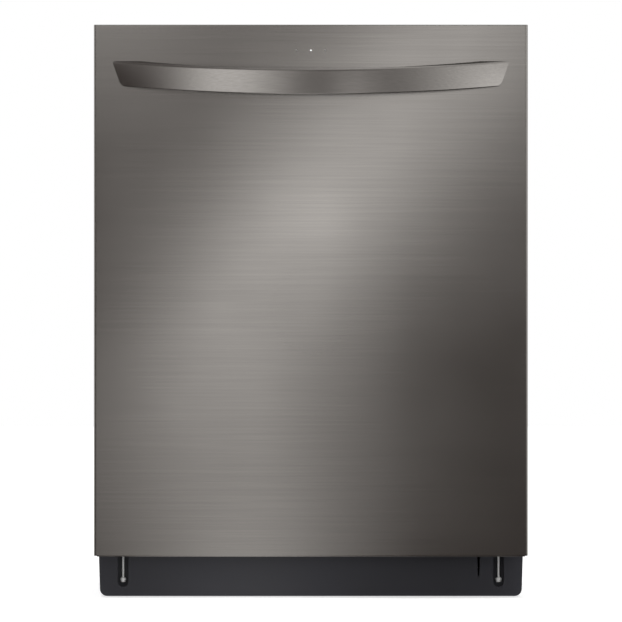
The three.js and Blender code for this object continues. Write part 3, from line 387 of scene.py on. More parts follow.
rings += nested(0, middle_z, tub_half, half_tall, [
    (inset * mm, 20 * mm, tub_back + depth * mm)
    for inset, depth in ((45, 0), (50, 1.5), (56, 3), (110, 3), (180, 3), (250, 3))
])
verts, faces = patch(np.stack(rings), around=True)
faces.append(list(range(len(verts) - len(mouth), len(verts))))
tub = piece("tub_shell", [(verts, faces)], tub_steel, "cabinet", closed=False)
thicken(tub, 0.8 * mm)
hole = rounded_ring(35 * mm, 10 * mm, 105 * mm, 79 * mm, 40 * mm)
cut_out(tub, [lofted(hole, [(tub_floor - 0.02, 1), (tub_floor + 0.02, 1)])])
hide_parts("tub")


# ------------------------------
# Door gasket: extruded black rubber with a twin bulb, pressed on the tub's front frame up one
# side, over the top and down the other.
def bend(corners, radius, count=6, closed=False):
    """A path with each corner eased by a parabola between the points `radius` before and after it."""
    corners = np.asarray(corners, float)
    inner = corners if closed else corners[1:-1]
    before = np.roll(corners, 1, 0) if closed else corners[:-2]
    after = np.roll(corners, -1, 0) if closed else corners[2:]
    start = before - inner
    end = after - inner
    start = inner + start / np.linalg.norm(start, axis=1, keepdims=True) * radius
    end = inner + end / np.linalg.norm(end, axis=1, keepdims=True) * radius
    t = np.linspace(0, 1, count)[None, :, None]
    eased = (1 - t) ** 2 * start[:, None] + 2 * t * (1 - t) * inner[:, None] + t**2 * end[:, None]
    eased = eased.reshape(-1, 3)
    return eased if closed else np.vstack([corners[:1], eased, corners[-1:]])


def carried(path, profile, normal, closed=False):
    """A profile of (side, lift) points carried along a flat path: lift runs along the path's
    normal, side runs square to both the normal and the path."""
    if closed:
        ahead = np.roll(path, -1, 0) - np.roll(path, 1, 0)
    else:
        ahead = np.gradient(path, axis=0)
    ahead /= np.linalg.norm(ahead, axis=1, keepdims=True)
    side = np.cross(ahead, normal)
    profile = np.broadcast_to(profile, (len(path), *np.shape(profile)[-2:]))
    across = profile[..., :1] * side[:, None]
    return capped(path[:, None] + across + profile[..., 1:] * np.asarray(normal, float), closed)


black_rubber = moulded("black_rubber", (0.018, 0.018, 0.019), 0.62, texture=900, depth=2e-5)
low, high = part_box("tub_gasket")
bulb = np.array([(-1, 0), (-1, 0.4), (-0.9, 0.66), (-0.72, 0.84), (-0.45, 0.9), (-0.2, 0.78), (0, 0.66),
                 (0.2, 0.78), (0.42, 0.94), (0.68, 1), (0.9, 0.86), (1, 0.5), (1, 0)])
leg_x, bar_z, seat_bend = 280 * mm, high.z - 4 * mm, 14 * mm
seat = np.array([(1, high.y, low.z), (1, high.y, bar_z), (-1, high.y, bar_z), (-1, high.y, low.z)])
seat = bend(seat * (leg_x, 1, 1), seat_bend, count=12)
seat = np.insert(seat, 1, seat[0] + (0, 0, 0.3), axis=0)
half_wide = 6 * mm - 2 * mm * np.clip((seat[:, 2] - bar_z + seat_bend) / seat_bend, 0, 1)
profile = np.stack([bulb[None, :, 0] * half_wide[:, None],
                    np.broadcast_to(bulb[:, 1] * (high.y - low.y), (len(seat), len(bulb)))], -1)
gasket = piece("gasket_bulb", [carried(seat, profile, (0, -1, 0))], black_rubber, "cabinet")
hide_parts("tub_gasket")


# ------------------------------
# Side panels: galvanised sheet with folded edges and a pressed field crossed by three beads. Six
# screws hold each to the tub and the rear panel.
def galvanised(name, color=(0.44, 0.45, 0.46), roughness=0.4):
    """Zinc-coated sheet: grains a few millimetres wide, each a little lighter or duller."""
    made, tree, shader = finish(name, color, roughness, 1.0)
    coord = add(tree, "TexCoord", {})
    spangle = add(tree, "TexVoronoi", {"Vector": coord.outputs["Object"], "Scale": 240})
    shade = add(tree, "SeparateColor", {"Color": spangle.outputs["Color"]})
    tint(tree, shade.outputs["Red"], [c * 0.93 for c in color], [c * 1.06 for c in color],
         shader.inputs["Base Color"])
    spread(tree, shade.outputs["Green"], roughness - 0.06, roughness + 0.08, shader.inputs["Roughness"])
    relief(tree, grain(tree, 260), 6e-6, shader)
    return made


def pan_head(radius, height, sides=20):
    """A domed screw head with a cross recess, standing on Z = 0."""
    share = np.array([1, 1, 0.94, 0.8, 0.6, 0.4])
    lift = np.array([0, 0.45, 0.75, 0.92, 1, 1]) * height
    cup = np.array([(0.36, 0.96 * height), (0.2, 0.35 * height)])
    profile = np.vstack([np.column_stack([share * radius, lift]), cup * (radius, 1)])
    return fluted(turned(profile, sides), sides, 6, 7, lambda angle: 0.45 * np.cos(4 * angle))


def facing(surface, axis):
    """Turns a surface that stands on Z = 0 to stand out along +X, -X, +Y or -Y."""
    x, y, z = surface[0].T
    turns = {"+x": (z, y, -x), "-x": (-z, y, x), "+y": (x, z, -y), "-y": (x, -z, y)}
    return np.column_stack(turns[axis]), surface[1]


sideways = {-1: "-x", 1: "+x"}
zinc = galvanised("galvanised_sheet")
cabinet_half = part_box("side_panel_right")[1].x
notch_y, notch_foot, notch_top = -207.7 * mm, 0.116, 0.120  # the front edge steps back by the tray
fold = 2 * mm
sheet_gauge = 0.8 * mm
turn = np.linspace(0, math.pi / 2, 6)
near = np.vstack([[-6 * mm, 0], np.column_stack([fold * (np.sin(turn) - 1), fold * (1 - np.cos(turn))])])
far = near[::-1]
run = np.linspace(0, 1, 74)
for name, hand in (("left", -1), ("right", 1)):
    low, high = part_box(f"side_panel_{name}")
    by_notch = np.linspace(notch_foot - 1 * mm, notch_top + 1 * mm, 7)
    heights = np.unique(np.concatenate([np.linspace(low.z, high.z, 150), by_notch]))
    front = np.interp(heights, [notch_foot, notch_top], [notch_y, low.y])[:, None]
    reach = high.y - front
    along = np.hstack([front + near[:, 1], front + 2.4 * mm + run * (reach - 4.8 * mm),
                       high.y - far[:, 1] + 0 * reach])
    inward = np.hstack([near[:, 0] + 0 * reach, 0 * run + 0 * reach, far[:, 0] + 0 * reach])
    rows = heights[:, None]
    field = bump_between(along, -0.198, 0.298, 0.010) * bump_between(rows, 0.135, 0.742, 0.010)
    beads = sum(bump_between(rows, z - 0.016, z + 0.016, 0.010) for z in (0.29, 0.44, 0.59))
    beads = beads * bump_between(along, -0.165, 0.265, 0.016)
    side = cabinet_half + inward - 2.2 * mm * field * (1 - 0.9 * beads)
    panel = np.stack([hand * side, along, rows + 0 * along], -1)
    panel = panel if hand > 0 else panel[:, ::-1]
    panel = piece(f"side_sheet_{name}", [patch(panel)], zinc, "cabinet", closed=False)
    thicken(panel, sheet_gauge)
    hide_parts(f"side_panel_{name}")
    head = facing(pan_head(3.6 * mm, 1.8 * mm), sideways[hand])
    spots = [(hand * cabinet_half, y, z) for y in (-0.215, 0.315) for z in (0.2, 0.44, 0.68)]
    screws = piece(f"side_screws_{name}", [moved(head, spot) for spot in spots], bright_steel, "cabinet")


# ------------------------------
# Rear panel: a pressed galvanised frame with lipped edges and one bead all round, open in the
# middle, screwed to the side panels.
low, high, centre = box_of("rear_panel")
outer = rounded_ring(0, centre.z, high.x, high.z - centre.z, 4 * mm)
inner = rounded_ring(0, 474 * mm, 245 * mm, 254 * mm, 22 * mm)
plate_y, lip_y = low.y, high.y
rings = [set_back(outer, lip_y), set_back(outer, plate_y + 1.5 * mm)]
rings.append(set_back(outer + ((0, centre.z) - outer) * (0.001, 0.0005), plate_y + 0.4 * mm))
for share in (0.012, *np.linspace(0.05, 0.94, 26), 0.985):
    bead = 2.6 * mm * bump_between(share, 0.30, 0.72, 0.10)
    rings.append(set_back(outer + (inner - outer) * share, plate_y + bead))
rings += [set_back(inner, plate_y + 0.9 * mm), set_back(inner, plate_y + 3.6 * mm)]
rear = piece("rear_frame", [patch(np.stack(rings), around=True)], zinc, "cabinet", closed=False)
thicken(rear, sheet_gauge)
head = facing(pan_head(3.6 * mm, 1.8 * mm), "+y")
spots = [(x, plate_y + sheet_gauge, z) for x in (-288 * mm, 288 * mm) for z in (0.10, 0.33, 0.55, 0.765)]
screws = piece("rear_screws", [moved(head, spot) for spot in spots], bright_steel, "cabinet")
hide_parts("rear_panel")


# ------------------------------
# Sound blanket: a felt mat of pressed grey cotton waste. It lies over the tub, bends down behind
# it and is stitched along its edges.
felt_color = (0.085, 0.088, 0.095)
felt, tree, shader = finish("grey_felt", felt_color, 0.95)
shader.inputs["Specular IOR Level"].default_value = 0.2
shader.inputs["Sheen Weight"].default_value = 0.35
shader.inputs["Sheen Roughness"].default_value = 0.6
fibres = grain(tree, 700, (1, 2.6, 1.7), detail=5)
dark_felt, pale_felt = ([c * share for c in felt_color] for share in (0.5, 1.9))
tint(tree, fibres, dark_felt, pale_felt, shader.inputs["Base Color"])
relief(tree, grain(tree, 420, detail=5), 3e-4, shader)
low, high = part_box("top_blanket")
mat = 10 * mm
turn = np.linspace(0, math.pi / 2, 14)
bend_radius = 22 * mm
top_run = np.linspace(low.y, high.y - bend_radius, 80)[:-1]
drop_run = np.linspace(high.z - bend_radius, low.z, 90)[1:]
route = np.vstack([
    np.column_stack([top_run, np.full(len(top_run), high.z)]),
    np.column_stack([high.y - bend_radius + bend_radius * np.sin(turn),
                     high.z - bend_radius + bend_radius * np.cos(turn)]),
    np.column_stack([np.full(len(drop_run), high.y), drop_run]),
])
ahead = np.gradient(route, axis=0)
ahead /= np.linalg.norm(ahead, axis=1, keepdims=True)
inward = np.column_stack([ahead[:, 1], -ahead[:, 0]])
travelled = np.concatenate([[0], np.cumsum(np.linalg.norm(np.diff(route, axis=0), axis=1))])
u = np.sin(np.linspace(-math.pi / 2, math.pi / 2, 70))
x = u * high.x
edge = np.minimum(high.x - np.abs(x)[None], np.minimum(travelled, travelled[-1] - travelled)[:, None])
loft = np.sqrt(np.clip(1 - (1 - np.clip(edge / (9 * mm), 0, 1)) ** 2, 0, 1))
stitch = bump_between(edge, 0.010, 0.022, 0.006)
rng = np.random.default_rng(7)
waves = sum(np.sin(x[None] * rng.uniform(18, 60) + rng.uniform(0, 6))
            * np.sin(travelled[:, None] * rng.uniform(18, 60) + rng.uniform(0, 6)) for _ in range(9)) / 9
sink = (1 - loft) * mat / 2 + 2.4 * mm * stitch + 0.9 * mm * (1 + waves) * loft
rise = (1 - loft) * mat / 2
skin, lining = (np.stack([x + 0 * depth, route[:, :1] + inward[:, :1] * depth,
                          route[:, 1:] + inward[:, 1:] * depth], -1) for depth in (sink, mat - rise))
rings = np.concatenate([skin, lining[:, ::-1][:, 1:-1]], axis=1)
blanket = piece("sound_blanket", [capped(rings)], felt, "cabinet", smooth=80)
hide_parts("top_blanket")


# ------------------------------
# Brackets to the worktop and the latch striker: folded zinc-plated steel on the tub's front
# frame; the striker is a bent round wire welded to a small plate.
dress(zinc, "mounting_bracket_left", "mounting_bracket_right")
low, high, centre = box_of("latch_striker")
loop_half, loop_wire = 7 * mm, 2 * mm
loop_front, loop_back = low.y + loop_wire, high.y - 1 * mm
loop = [(-loop_half, loop_back, centre.z), (-loop_half, loop_front, centre.z),
        (loop_half, loop_front, centre.z), (loop_half, loop_back, centre.z)]
loop = bend(loop, 5 * mm, count=8)
mount = rounded_ring(0, centre.z, high.x, high.z - centre.z, 3 * mm, count=4)
mount = np.stack([set_back(mount, high.y), set_back(mount, high.y - 1.1 * mm),
                  set_back(mount * (0.97, 1), high.y - 1.5 * mm)])
striker = [carried(loop, circle(12) * loop_wire, (0, 0, 1)), capped(mount)]
striker = piece("striker_loop", striker, bright_steel, "cabinet")
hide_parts("latch_striker")


# ------------------------------
# Hinges: zinc-plated brackets on the tray and arms in the door, joined on each side by a close
# wound tension spring with a hook at both ends.
dress(zinc, "hinge_bracket_left", "hinge_bracket_right", "hinge_arm_left", "hinge_arm_right")
tail, anchor = np.array([-230, 73]) * mm, np.array([-115, 33]) * mm
spring_wire, coil_radius, hook_gap = 0.85 * mm, 3.3 * mm, 9 * mm
direction = (anchor - tail) / np.linalg.norm(anchor - tail)
coil_length = np.linalg.norm(anchor - tail) - 2 * hook_gap
turns = int(coil_length / (2.15 * spring_wire))
angle = np.linspace(0, 2 * math.pi * turns, 14 * turns + 1)
axis = np.array([0, *direction])
across = np.array([1, 0, 0])
upward = np.cross(axis, across)
wire = circle(6) * spring_wire
for name, x in (("left", -286 * mm), ("right", 286 * mm)):
    start = np.array([x, *(tail + direction * hook_gap)])
    out = np.cos(angle)[:, None] * across + np.sin(angle)[:, None] * upward
    core = start + out * coil_radius + axis * (angle / angle[-1] * coil_length)[:, None]
    coil = core[:, None] + wire[:, :1] * out[:, None] + wire[:, 1:] * axis
    hooks = []
    for centre, way in ((tail, -1), (anchor, 1)):
        eye = np.linspace(0, 1.65 * math.pi, 18)
        ring = centre + 3 * mm * (np.cos(eye)[:, None] * -way * direction
                                  + np.sin(eye)[:, None] * np.array([-direction[1], direction[0]]))
        shank = centre - way * direction * (hook_gap + 1 * mm)
        hooks.append(carried(np.insert(np.vstack([shank, ring]), 0, x, axis=1), wire, (1, 0, 0)))
    spring = piece(f"door_spring_{name}", [capped(coil), *hooks], zinc_stud, None)
    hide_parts(f"hinge_spring_{name}")
    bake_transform(spring)


# ------------------------------
# Sump, pumps and inlet valve: moulded parts under the tub, screwed and clipped to its floor and to
# the tray.
grey_plastic = moulded("grey_moulding", (0.115, 0.122, 0.13), 0.4, texture=1400)
dress(black_plastic, "sump", "wash_pump")
dress(grey_plastic, "drain_pump", "inlet_valve")


# ------------------------------
# Filter plate: pressed stainless steel over the sump, perforated all over on a square pitch, with
# the spray arm's pillar standing on it.
def perforated(name, color, roughness, pitch, hole, metallic=1.0):
    """Sheet punched on a square pitch, its holes drawn as painted shade on a flat sheet: the distance to
    the nearest grid point paints each hole near black and dishes its edge."""
    made, tree, shader = finish(name, color, roughness, metallic)
    coord = add(tree, "TexCoord", {})
    place = {"Vector": coord.outputs["Object"], "Scale": 1 / pitch, "Randomness": 0}
    grid = add(tree, "TexVoronoi", place, voronoi_dimensions="2D")
    rim = {"From Min": hole / pitch, "From Max": hole / pitch + 0.08}
    inside = add(tree, "MapRange", {"Value": grid.outputs["Distance"], **rim})
    # A is the painted shade inside each hole, near black; B is the sheet's own colour.
    colors = {"A": (0.01, 0.01, 0.01, 1), "B": (*color, 1)}
    shade = add(tree, "Mix", {"Factor": inside.outputs["Result"], **colors}, data_type="RGBA")
    tree.links.new(shade.outputs["Result"], shader.inputs["Base Color"])
    relief(tree, inside.outputs["Result"], 3e-4, shader)
    return made


# The holes are not cut: each is painted near black, as painted shade.
pitch = 4.2 * mm
dress(perforated("perforated_steel", (0.5, 0.5, 0.49), 0.3, pitch, 0.36 * pitch), "filter_plate")


# ------------------------------
# Fine filter: a fluted grey nylon cage that holds the mesh, under a flange with three notches. It
# twists by the bar grip on top to lift out.
grey_nylon = moulded("grey_nylon", (0.20, 0.21, 0.22), 0.42, texture=1100)
centre = box_of("filter_cup")[2]
seat = 119.6  # height of its flange in millimetres, as in the profiles
sides = 72
cage = np.array([(0, 72.2), (30, 72.2), (32.4, 73), (33, 75), (32.6, 77), (33.4, 96), (33, 97),
                 (33.6, 98), (34.6, 118.6), (34.8, seat), (43, seat), (44, seat + 0.6), (44, seat + 1.5),
                 (43.4, seat + 2), (32, seat + 2), (31, seat + 1.4), (29, 78), (28, 76), (0, 76)])
cage = turned(np.where(cage == 0, 0.2, cage) * mm, sides)
cage = fluted(cage, sides, 4, 8, lambda angle: 0.022 * np.cos(24 * angle))
cage = fluted(cage, sides, 10, 13, lambda angle: -0.03 * bump_between(np.cos(3 * angle), 0.8, 1.5, 0.12))
grip = rounded_ring(0, 0, 33 * mm, 3.4 * mm, 3 * mm, count=10)
hub = rounded_ring(0, 0, 9.4 * mm, 9.4 * mm, 9 * mm, count=4)
surfaces = [cage]
for outline, top in ((grip, 9.4), (hub, 10)):
    stages = ((-2, 1), (top - 1.4, 1), (top - 0.4, 0.97), (top, 0.92))
    surfaces.append(lofted(outline, [((seat + z) * mm, scale) for z, scale in stages]))
surfaces = [moved(surface, (centre.x, centre.y, 0)) for surface in surfaces]
filter_cage = piece("filter_cage", surfaces, grey_nylon, "filter_cup")
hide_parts("filter_cup")


# ------------------------------
# Feed pipe: a flat blow-moulded duct that rises up the tub's back wall, turns forward under the
# ceiling and ends over the top spray arm. A port on its front meets the upper rack's duct.
def duct(path, half_wide, half_deep, corner, normal):
    """A rounded box section carried along a flat path, with a half depth for each of its points."""
    ring = rounded_ring(0, 0, half_wide, half_deep.max(), corner, count=8)
    profile = np.stack([ring[:, 1] * (half_deep / half_deep.max())[:, None],
                        np.broadcast_to(ring[:, 0], (len(path), len(ring)))], -1)
    return carried(path, profile, normal)


low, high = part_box("feed_pipe")
riser_y, run_z = high.y - 8.5 * mm, high.z - 6.5 * mm
route = bend([(0, riser_y, low.z), (0, riser_y, run_z), (0, low.y, run_z)], 16 * mm, count=10)
route = np.insert(route, 1, (0, riser_y, 0.4), axis=0)
deep = np.interp(route[:, 1], [riser_y - 16 * mm, riser_y], [6.5 * mm, 8.5 * mm])
pipe = [duct(route, high.x, deep, 4 * mm, (1, 0, 0))]
dock_z = 423 * mm
port = np.array([(9.4, 16), (9.4, 24), (13, 24), (13, 21), (11.6, 20), (11.6, 0)]) * mm
pipe.append(moved(facing(turned(port), "-y"), (0, riser_y - 6 * mm, dock_z)))
stem_y = 30 * mm
stem = np.array([(7, 706), (7, 714.4), (15, 714.4), (15, 718), (13, 719.5), (13, 728)]) * mm
pipe.append(moved(turned(stem), (0, stem_y, 0)))
clip = rounded_ring(0, 0, 24 * mm, 8 * mm, 3 * mm, count=6)
for z in (0.25, 0.34, 0.58, 0.66):
    bands = [set_back(clip + (0, z), riser_y - d * mm) for d in (-8, 8.6, 9.6)]
    bands[-1][:, 0] *= 0.95
    pipe.append(capped(np.stack(bands)))
feed = piece("feed_duct", pipe, grey_plastic, "cabinet")
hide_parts("feed_pipe")


# ------------------------------
# Manifold: a flat duct clipped under the upper rack. Its spigot docks in the feed pipe's port as
# the rack slides home, and its stem carries the middle spray arm.
low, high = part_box("middle_manifold")
duct_z = (413.3 * mm + high.z) / 2
route = np.array([(0, y, duct_z) for y in np.linspace(low.y, 264.4 * mm, 12)])
swell = 9.2 * mm * np.interp(route[:, 1], [low.y, low.y + 12 * mm, 0.24, 0.2644], [0.9, 1, 1, 0.9])
spigot = np.array([(9, 0), (9, 18), (8.2, 20), (6, 20), (6, 4)]) * mm
post = np.array([(7, 405), (7, 412), (12, 414), (12, 416)]) * mm
manifold = piece("rack_duct", [
    duct(route, high.x, swell, 4 * mm, (1, 0, 0)),
    moved(facing(turned(spigot), "+y"), (0, 256.4 * mm, dock_z)),
    moved(turned(post), (0, stem_y, 0)),
], grey_plastic, "upper_rack")
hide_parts("middle_manifold")


# ------------------------------
# Spray arms: two moulded halves welded into a hollow blade, bowed one way at one end and the other
# way at the other so that the jets turn it. Each spins on its fluted hub.
dark_nylon = moulded("dark_nylon", (0.050, 0.053, 0.060), 0.36, texture=1200)


def blade(reach, foot, thickness, root=24 * mm, tip=13 * mm, bow=10 * mm):
    """A crowned blade: the half width falls from root to tip by the square of the way along, the
    middle line bows by a parabola, and the section is a squared ellipse with a raised spine."""
    u = np.sin(np.linspace(-math.pi / 2, math.pi / 2, 90))
    x = u * (reach - 0.2 * mm)
    way = np.clip((np.abs(x) - root) / (reach - tip - root), 0, 1)
    half = root - (root - tip) * way**2
    past = np.clip(np.abs(x) - (reach - tip), 0, tip)
    half = np.minimum(half, np.sqrt(np.maximum(tip**2 - past**2, (1 * mm) ** 2)))
    middle = -np.sign(x) * bow * 2 * way * (1 - way)
    turn = np.linspace(0, 2 * math.pi, 40, endpoint=False)
    side = np.sign(np.cos(turn)) * np.abs(np.cos(turn)) ** 0.7
    lift = np.sign(np.sin(turn)) * np.abs(np.sin(turn)) ** 0.6
    tall = thickness / 2 * np.minimum(1, 0.55 + 0.45 * half / tip)
    spine = np.exp(-((side / 0.22) ** 2)) * (lift > 0) * 0.16
    y = middle[:, None] + half[:, None] * side
    z = foot + thickness / 2 + tall[:, None] * np.where(lift > 0, lift * (0.84 + spine), lift)
    return capped(np.stack([np.broadcast_to(x[:, None], y.shape), y, z], -1)), middle, x


jet = np.array([(4.4, -1.5), (4.4, 0.3), (3.6, 0.9), (2.4, 0.9), (1.7, -0.4), (1.7, -1.4)]) * mm
for name, reach, hub_radius, bore, hangs in (
    ("lower", 215, 22, 12.3, False),
    ("middle", 200, 20, 7.3, True),
    ("top", 95, 18, 7.3, True),
):
    node = f"{name}_spray_arm"
    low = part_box(node)[0]
    foot, thickness, reach = low.z + 4 * mm, 11 * mm, reach * mm
    wing, middle, x = blade(reach, foot, thickness)
    jets = []
    for share in (-0.86, -0.66, -0.46, -0.28, 0.34, 0.55, 0.76, 0.9):
        nozzle = jet * (1, 1 if name != "top" else -1)
        at = (share * reach, np.interp(share * reach, x, middle) + 5 * mm * math.copysign(1, -share),
              foot + thickness * (0.86 if name != "top" else 0.12))
        jets.append(moved(turned(nozzle, 14), at))
    hub = np.array([(bore, 8.3), (bore, 0), (hub_radius - 2, 0), (hub_radius, 1.5), (hub_radius, 12),
                    (hub_radius - 1, 14), (hub_radius - 5, 16), (hub_radius - 8, 17), (3, 17)]) * mm
    hub = fluted(turned(hub, 64), 64, 3, 4, lambda angle: -0.025 * (1 + np.cos(16 * angle)))
    if hangs:
        hub[0][:, 2] = 17 * mm - hub[0][:, 2]
    hub[0][:, 2] += low.z
    arm = piece(f"{name}_arm", [moved(s, (0, stem_y, 0)) for s in (wing, hub, *jets)], dark_nylon, node)
    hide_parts(node)


# ------------------------------
# Wire baskets of the lower and upper racks: steel wires welded where they cross and dipped in grey
# nylon. U-bent wires form the floor and walls, hoops tie them, and rows of tines hold the plates.
nylon_coat = moulded("nylon_coating", (0.105, 0.112, 0.125), 0.3, texture=500, depth=6e-6)
nylon_coat.node_tree.nodes["Principled BSDF"].inputs["Coat Weight"].default_value = 0.3
round_wire = circle(8)


def hoop(half, front, back, z, radius, corner=22 * mm):
    """A round wire bent into a closed rectangle with rounded corners, lying flat."""
    corners = [(half, front, z), (half, back, z), (-half, back, z), (-half, front, z)]
    return carried(bend(corners, corner, closed=True), round_wire * radius, (0, 0, 1), closed=True)


def bent_up(start, end, foot, top, normal, radius):
    """A round wire down from `top` at start (x, y), across at the height `foot`, and up at end."""
    path = bend([(*start, top), (*start, foot), (*end, foot), (*end, top)], 14 * mm, count=5)
    return carried(path, round_wire * radius, normal)


def basket_wires(floor, rim, levels):
    """Hoops at the floor, the rim and the given levels, with U wires inside them both ways."""
    thick, thin = 2.3 * mm, 1.4 * mm
    hoops = [(z, thick) for z in (floor + thick, rim - thick)] + [(z, thin) for z in levels]
    wires = [hoop(rack_half - gauge, rack_front + gauge, rack_back - gauge, z, gauge)
             for z, gauge in hoops]
    inset = 2 * thick + thin
    half, front, back = rack_half - inset, rack_front + inset, rack_back - inset
    foot, top = floor + thin + 0.1 * mm, rim - thick
    for x in np.linspace(28 * mm - rack_half, rack_half - 28 * mm, 13):
        wires.append(bent_up((x, front), (x, back), foot, top, (1, 0, 0), thin))
    for y in np.linspace(rack_front + 30 * mm, rack_back - 30 * mm, 12):
        wires.append(bent_up((-half, y), (half, y), foot + 1.2 * mm, top, (0, 1, 0), thin))
    return wires


def tine_row(x, y, foot, tip, lean=0.0, radius=1.5 * mm):
    """Upright wires at the places x, tips rounded, leaning back by `lean`, on one rail."""
    rail = np.array([(x.min() - 6 * mm, y, foot), (x.max() + 6 * mm, y, foot)])
    wires = [carried(rail, round_wire * radius, (0, 0, 1))]
    share = np.array([0, 0.5, 0.985, 1])
    size = np.array([1, 1, 0.9, 0.35])[:, None, None] * round_wire * radius
    for place in x:
        path = np.column_stack([np.full(4, place), y + lean * share, foot + (tip - foot) * share])
        wires.append(carried(path, size, (1, 0, 0)))
    return wires


rack_half, rack_front, rack_back = 246 * mm, -206 * mm, 270 * mm
left_places = np.linspace(-214, -20, 7) * mm
right_places = np.linspace(24, 218, 7) * mm
for level, heights, rows in (
    ("lower", (212, 256), (
        (left_places, (-158, -92, -26), 66, 7),
        (right_places, (-158, -92, -26, 40), 52, 6),
    )),
    ("upper", (470, 508), (
        (left_places, (-150, -60, 30, 120, 200), 46, 6),
        (right_places, (-150, -60, 30, 120, 200), 46, 6),
    )),
):
    rack = f"{level}_rack"
    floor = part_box(f"{rack}_floor")[0].z
    wires = basket_wires(floor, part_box(rack)[1].z, [height * mm for height in heights])
    for places, depths, tall, lean in rows:
        for y in depths:
            wires += tine_row(places, y * mm, floor + 4.2 * mm, floor + tall * mm, lean * mm)
    basket = piece(f"{level}_basket", wires, nylon_coat, rack, smooth=50)
    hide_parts(rack, f"{rack}_floor")

low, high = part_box("lower_rack_tines")
folding = tine_row(left_places, 120 * mm, low.z + 2 * mm, high.z, radius=1.8 * mm)
folding = piece("folding_tines", folding, nylon_coat, "lower_rack_tines", smooth=50)
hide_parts("lower_rack_tines")


# ------------------------------
# Wheels of the lower rack: moulded grey nylon with spokes and a grooved tread, on stub axles whose
# carriers clip under the rack's side wires.
low, high, centre = box_of("lower_wheel_front_right")
wheel_z, wheel_middle = centre.z, (high.x - low.x) / 2
tyre = np.array([(3.4, 0), (6.4, 0), (6.8, 1.2), (7.2, 2.4), (10, 2.6), (13.6, 2.4), (14, 0.6),
                 (14.6, 0), (17, 0), (18, 0.8), (18, 3), (17.4, 3.6), (17.4, 4.4), (18, 5), (18, 7.2),
                 (17, 8), (14.6, 8), (14, 7.4), (13.6, 5.6), (10, 5.4), (7.2, 5.6), (6.8, 7.4),
                 (6.4, 8), (3.4, 8)]) * mm
tyre, faces = turned(tyre, 60)
angle = np.arctan2(tyre[:, 1], tyre[:, 0])
reach = np.hypot(tyre[:, 0], tyre[:, 1])
spoke = bump_between(np.cos(6 * angle), 0.45, 1.6, 0.25) * ((reach > 7 * mm) & (reach < 13.8 * mm))
tyre[:, 2] += np.sign(tyre[:, 2] - wheel_middle) * 2 * mm * spoke
carrier = rounded_ring(0, 0, 7 * mm, 20 * mm, 5 * mm, count=4)
carrier_stages = ((242, 0.86), (243, 1), (249.5, 1), (251, 0.92), (251.6, 0.75))
stub = np.array([(3, 0), (3, 11.4), (2.4, 12)]) * mm
for row in ("front", "rear"):
    for side, hand in (("left", -1), ("right", 1)):
        name = f"lower_wheel_{row}_{side}"
        low, high, centre = box_of(name)
        place = (low.x if hand > 0 else high.x, centre.y, centre.z)
        wheel = moved(facing((tyre, faces), sideways[hand]), place)
        wheel = piece(f"wheel_{row}_{side}", [wheel], grey_nylon, name)
        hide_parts(name)
carriers = []
for hand in sideways:
    block = lofted(carrier, [(x * mm * hand, scale) for x, scale in carrier_stages], axis=0)
    for y in (-150 * mm, 205 * mm):
        carriers.append(moved(block, (0, y, 148.6 * mm)))
        carriers.append(moved(facing(turned(stub, 20), sideways[hand]), (hand * 250 * mm, y, wheel_z)))
carriers = piece("wheel_carriers", carriers, dark_nylon, "lower_rack")


# ------------------------------
# Rack slides: rolled stainless rails on the tub's walls. The upper and third racks each run in
# them on a bar with rollers, clipped to the rack by moulded blocks.
rail_steel = brushed("rail_stainless", (0.5, 0.5, 0.49), 0.28, (700, 8, 700))
dress(rail_steel, "upper_rail_left", "upper_rail_right", "third_rail_left", "third_rail_right")
roller = np.array([(1.6, 0), (5, 0), (6.4, 0.8), (6.6, 1.6), (5.8, 2.6), (6.6, 3.6), (6.4, 4.4),
                   (5, 5.2), (1.6, 5.2)]) * mm
roller = turned(roller, 28)
bar = rounded_ring(0, 0, 1.6 * mm, 6.2 * mm, 1.4 * mm, count=4)
bar_stages = ((-194, 0.8), (-192, 1), (272, 1), (274, 0.8))
bar = lofted(bar, [(y * mm, scale) for y, scale in bar_stages], axis=1)
clip = rounded_ring(0, 0, 11 * mm, 9 * mm, 3 * mm, count=4)
clip_stages = ((240.8, 0.8), (242, 1), (260, 0.9), (262.6, 0.62))
for name, z in (("upper", 500 * mm), ("third", 668 * mm)):
    body = f"{name}_rack"
    bars, blocks = [], []
    for hand in (-1, 1):
        bars.append(moved(bar, (hand * 264 * mm, 0, z)))
        for y in (-184, -40, 110, 262):
            bars.append(moved(facing(roller, sideways[hand]), (hand * 264.6 * mm, y * mm, z)))
        block = lofted(clip, [(hand * x * mm, scale) for x, scale in clip_stages], axis=0)
        for y in (-140, 30, 200):
            blocks.append(moved(block, (0, y * mm, z)))
    bars = piece(f"{name}_slide_bars", bars, rail_steel, body)
    blocks = piece(f"{name}_slide_blocks", blocks, dark_nylon, body)


# ------------------------------
# Third rack: a shallow moulded tray for cutlery. Its floor is a lattice of ribs, and combs of short
# fins keep the pieces apart.
def slats(low, high):
    """Square-edged bars from arrays of lowest and highest corners, eight points to each."""
    low, high = np.broadcast_arrays(np.asarray(low, float), np.asarray(high, float))
    pick = np.array([(x, y, z) for z in (0, 1) for x, y in ((0, 0), (1, 0), (1, 1), (0, 1))])
    verts = low[:, None] + (high - low)[:, None] * pick
    quads = np.array([(0, 3, 2, 1), (4, 5, 6, 7),
                      (0, 1, 5, 4), (1, 2, 6, 5), (2, 3, 7, 6), (3, 0, 4, 7)])
    faces = quads[None] + 8 * np.arange(len(low))[:, None, None]
    return verts.reshape(-1, 3), faces.reshape(-1, 4).tolist()


def grid_of(xs, ys, low, high):
    """Copies one bar, given by its corners about its own place, to every x and y."""
    x, y = np.meshgrid(xs, ys)
    places = np.column_stack([x.ravel(), y.ravel(), np.zeros(x.size)])
    return slats(places + low, places + high)


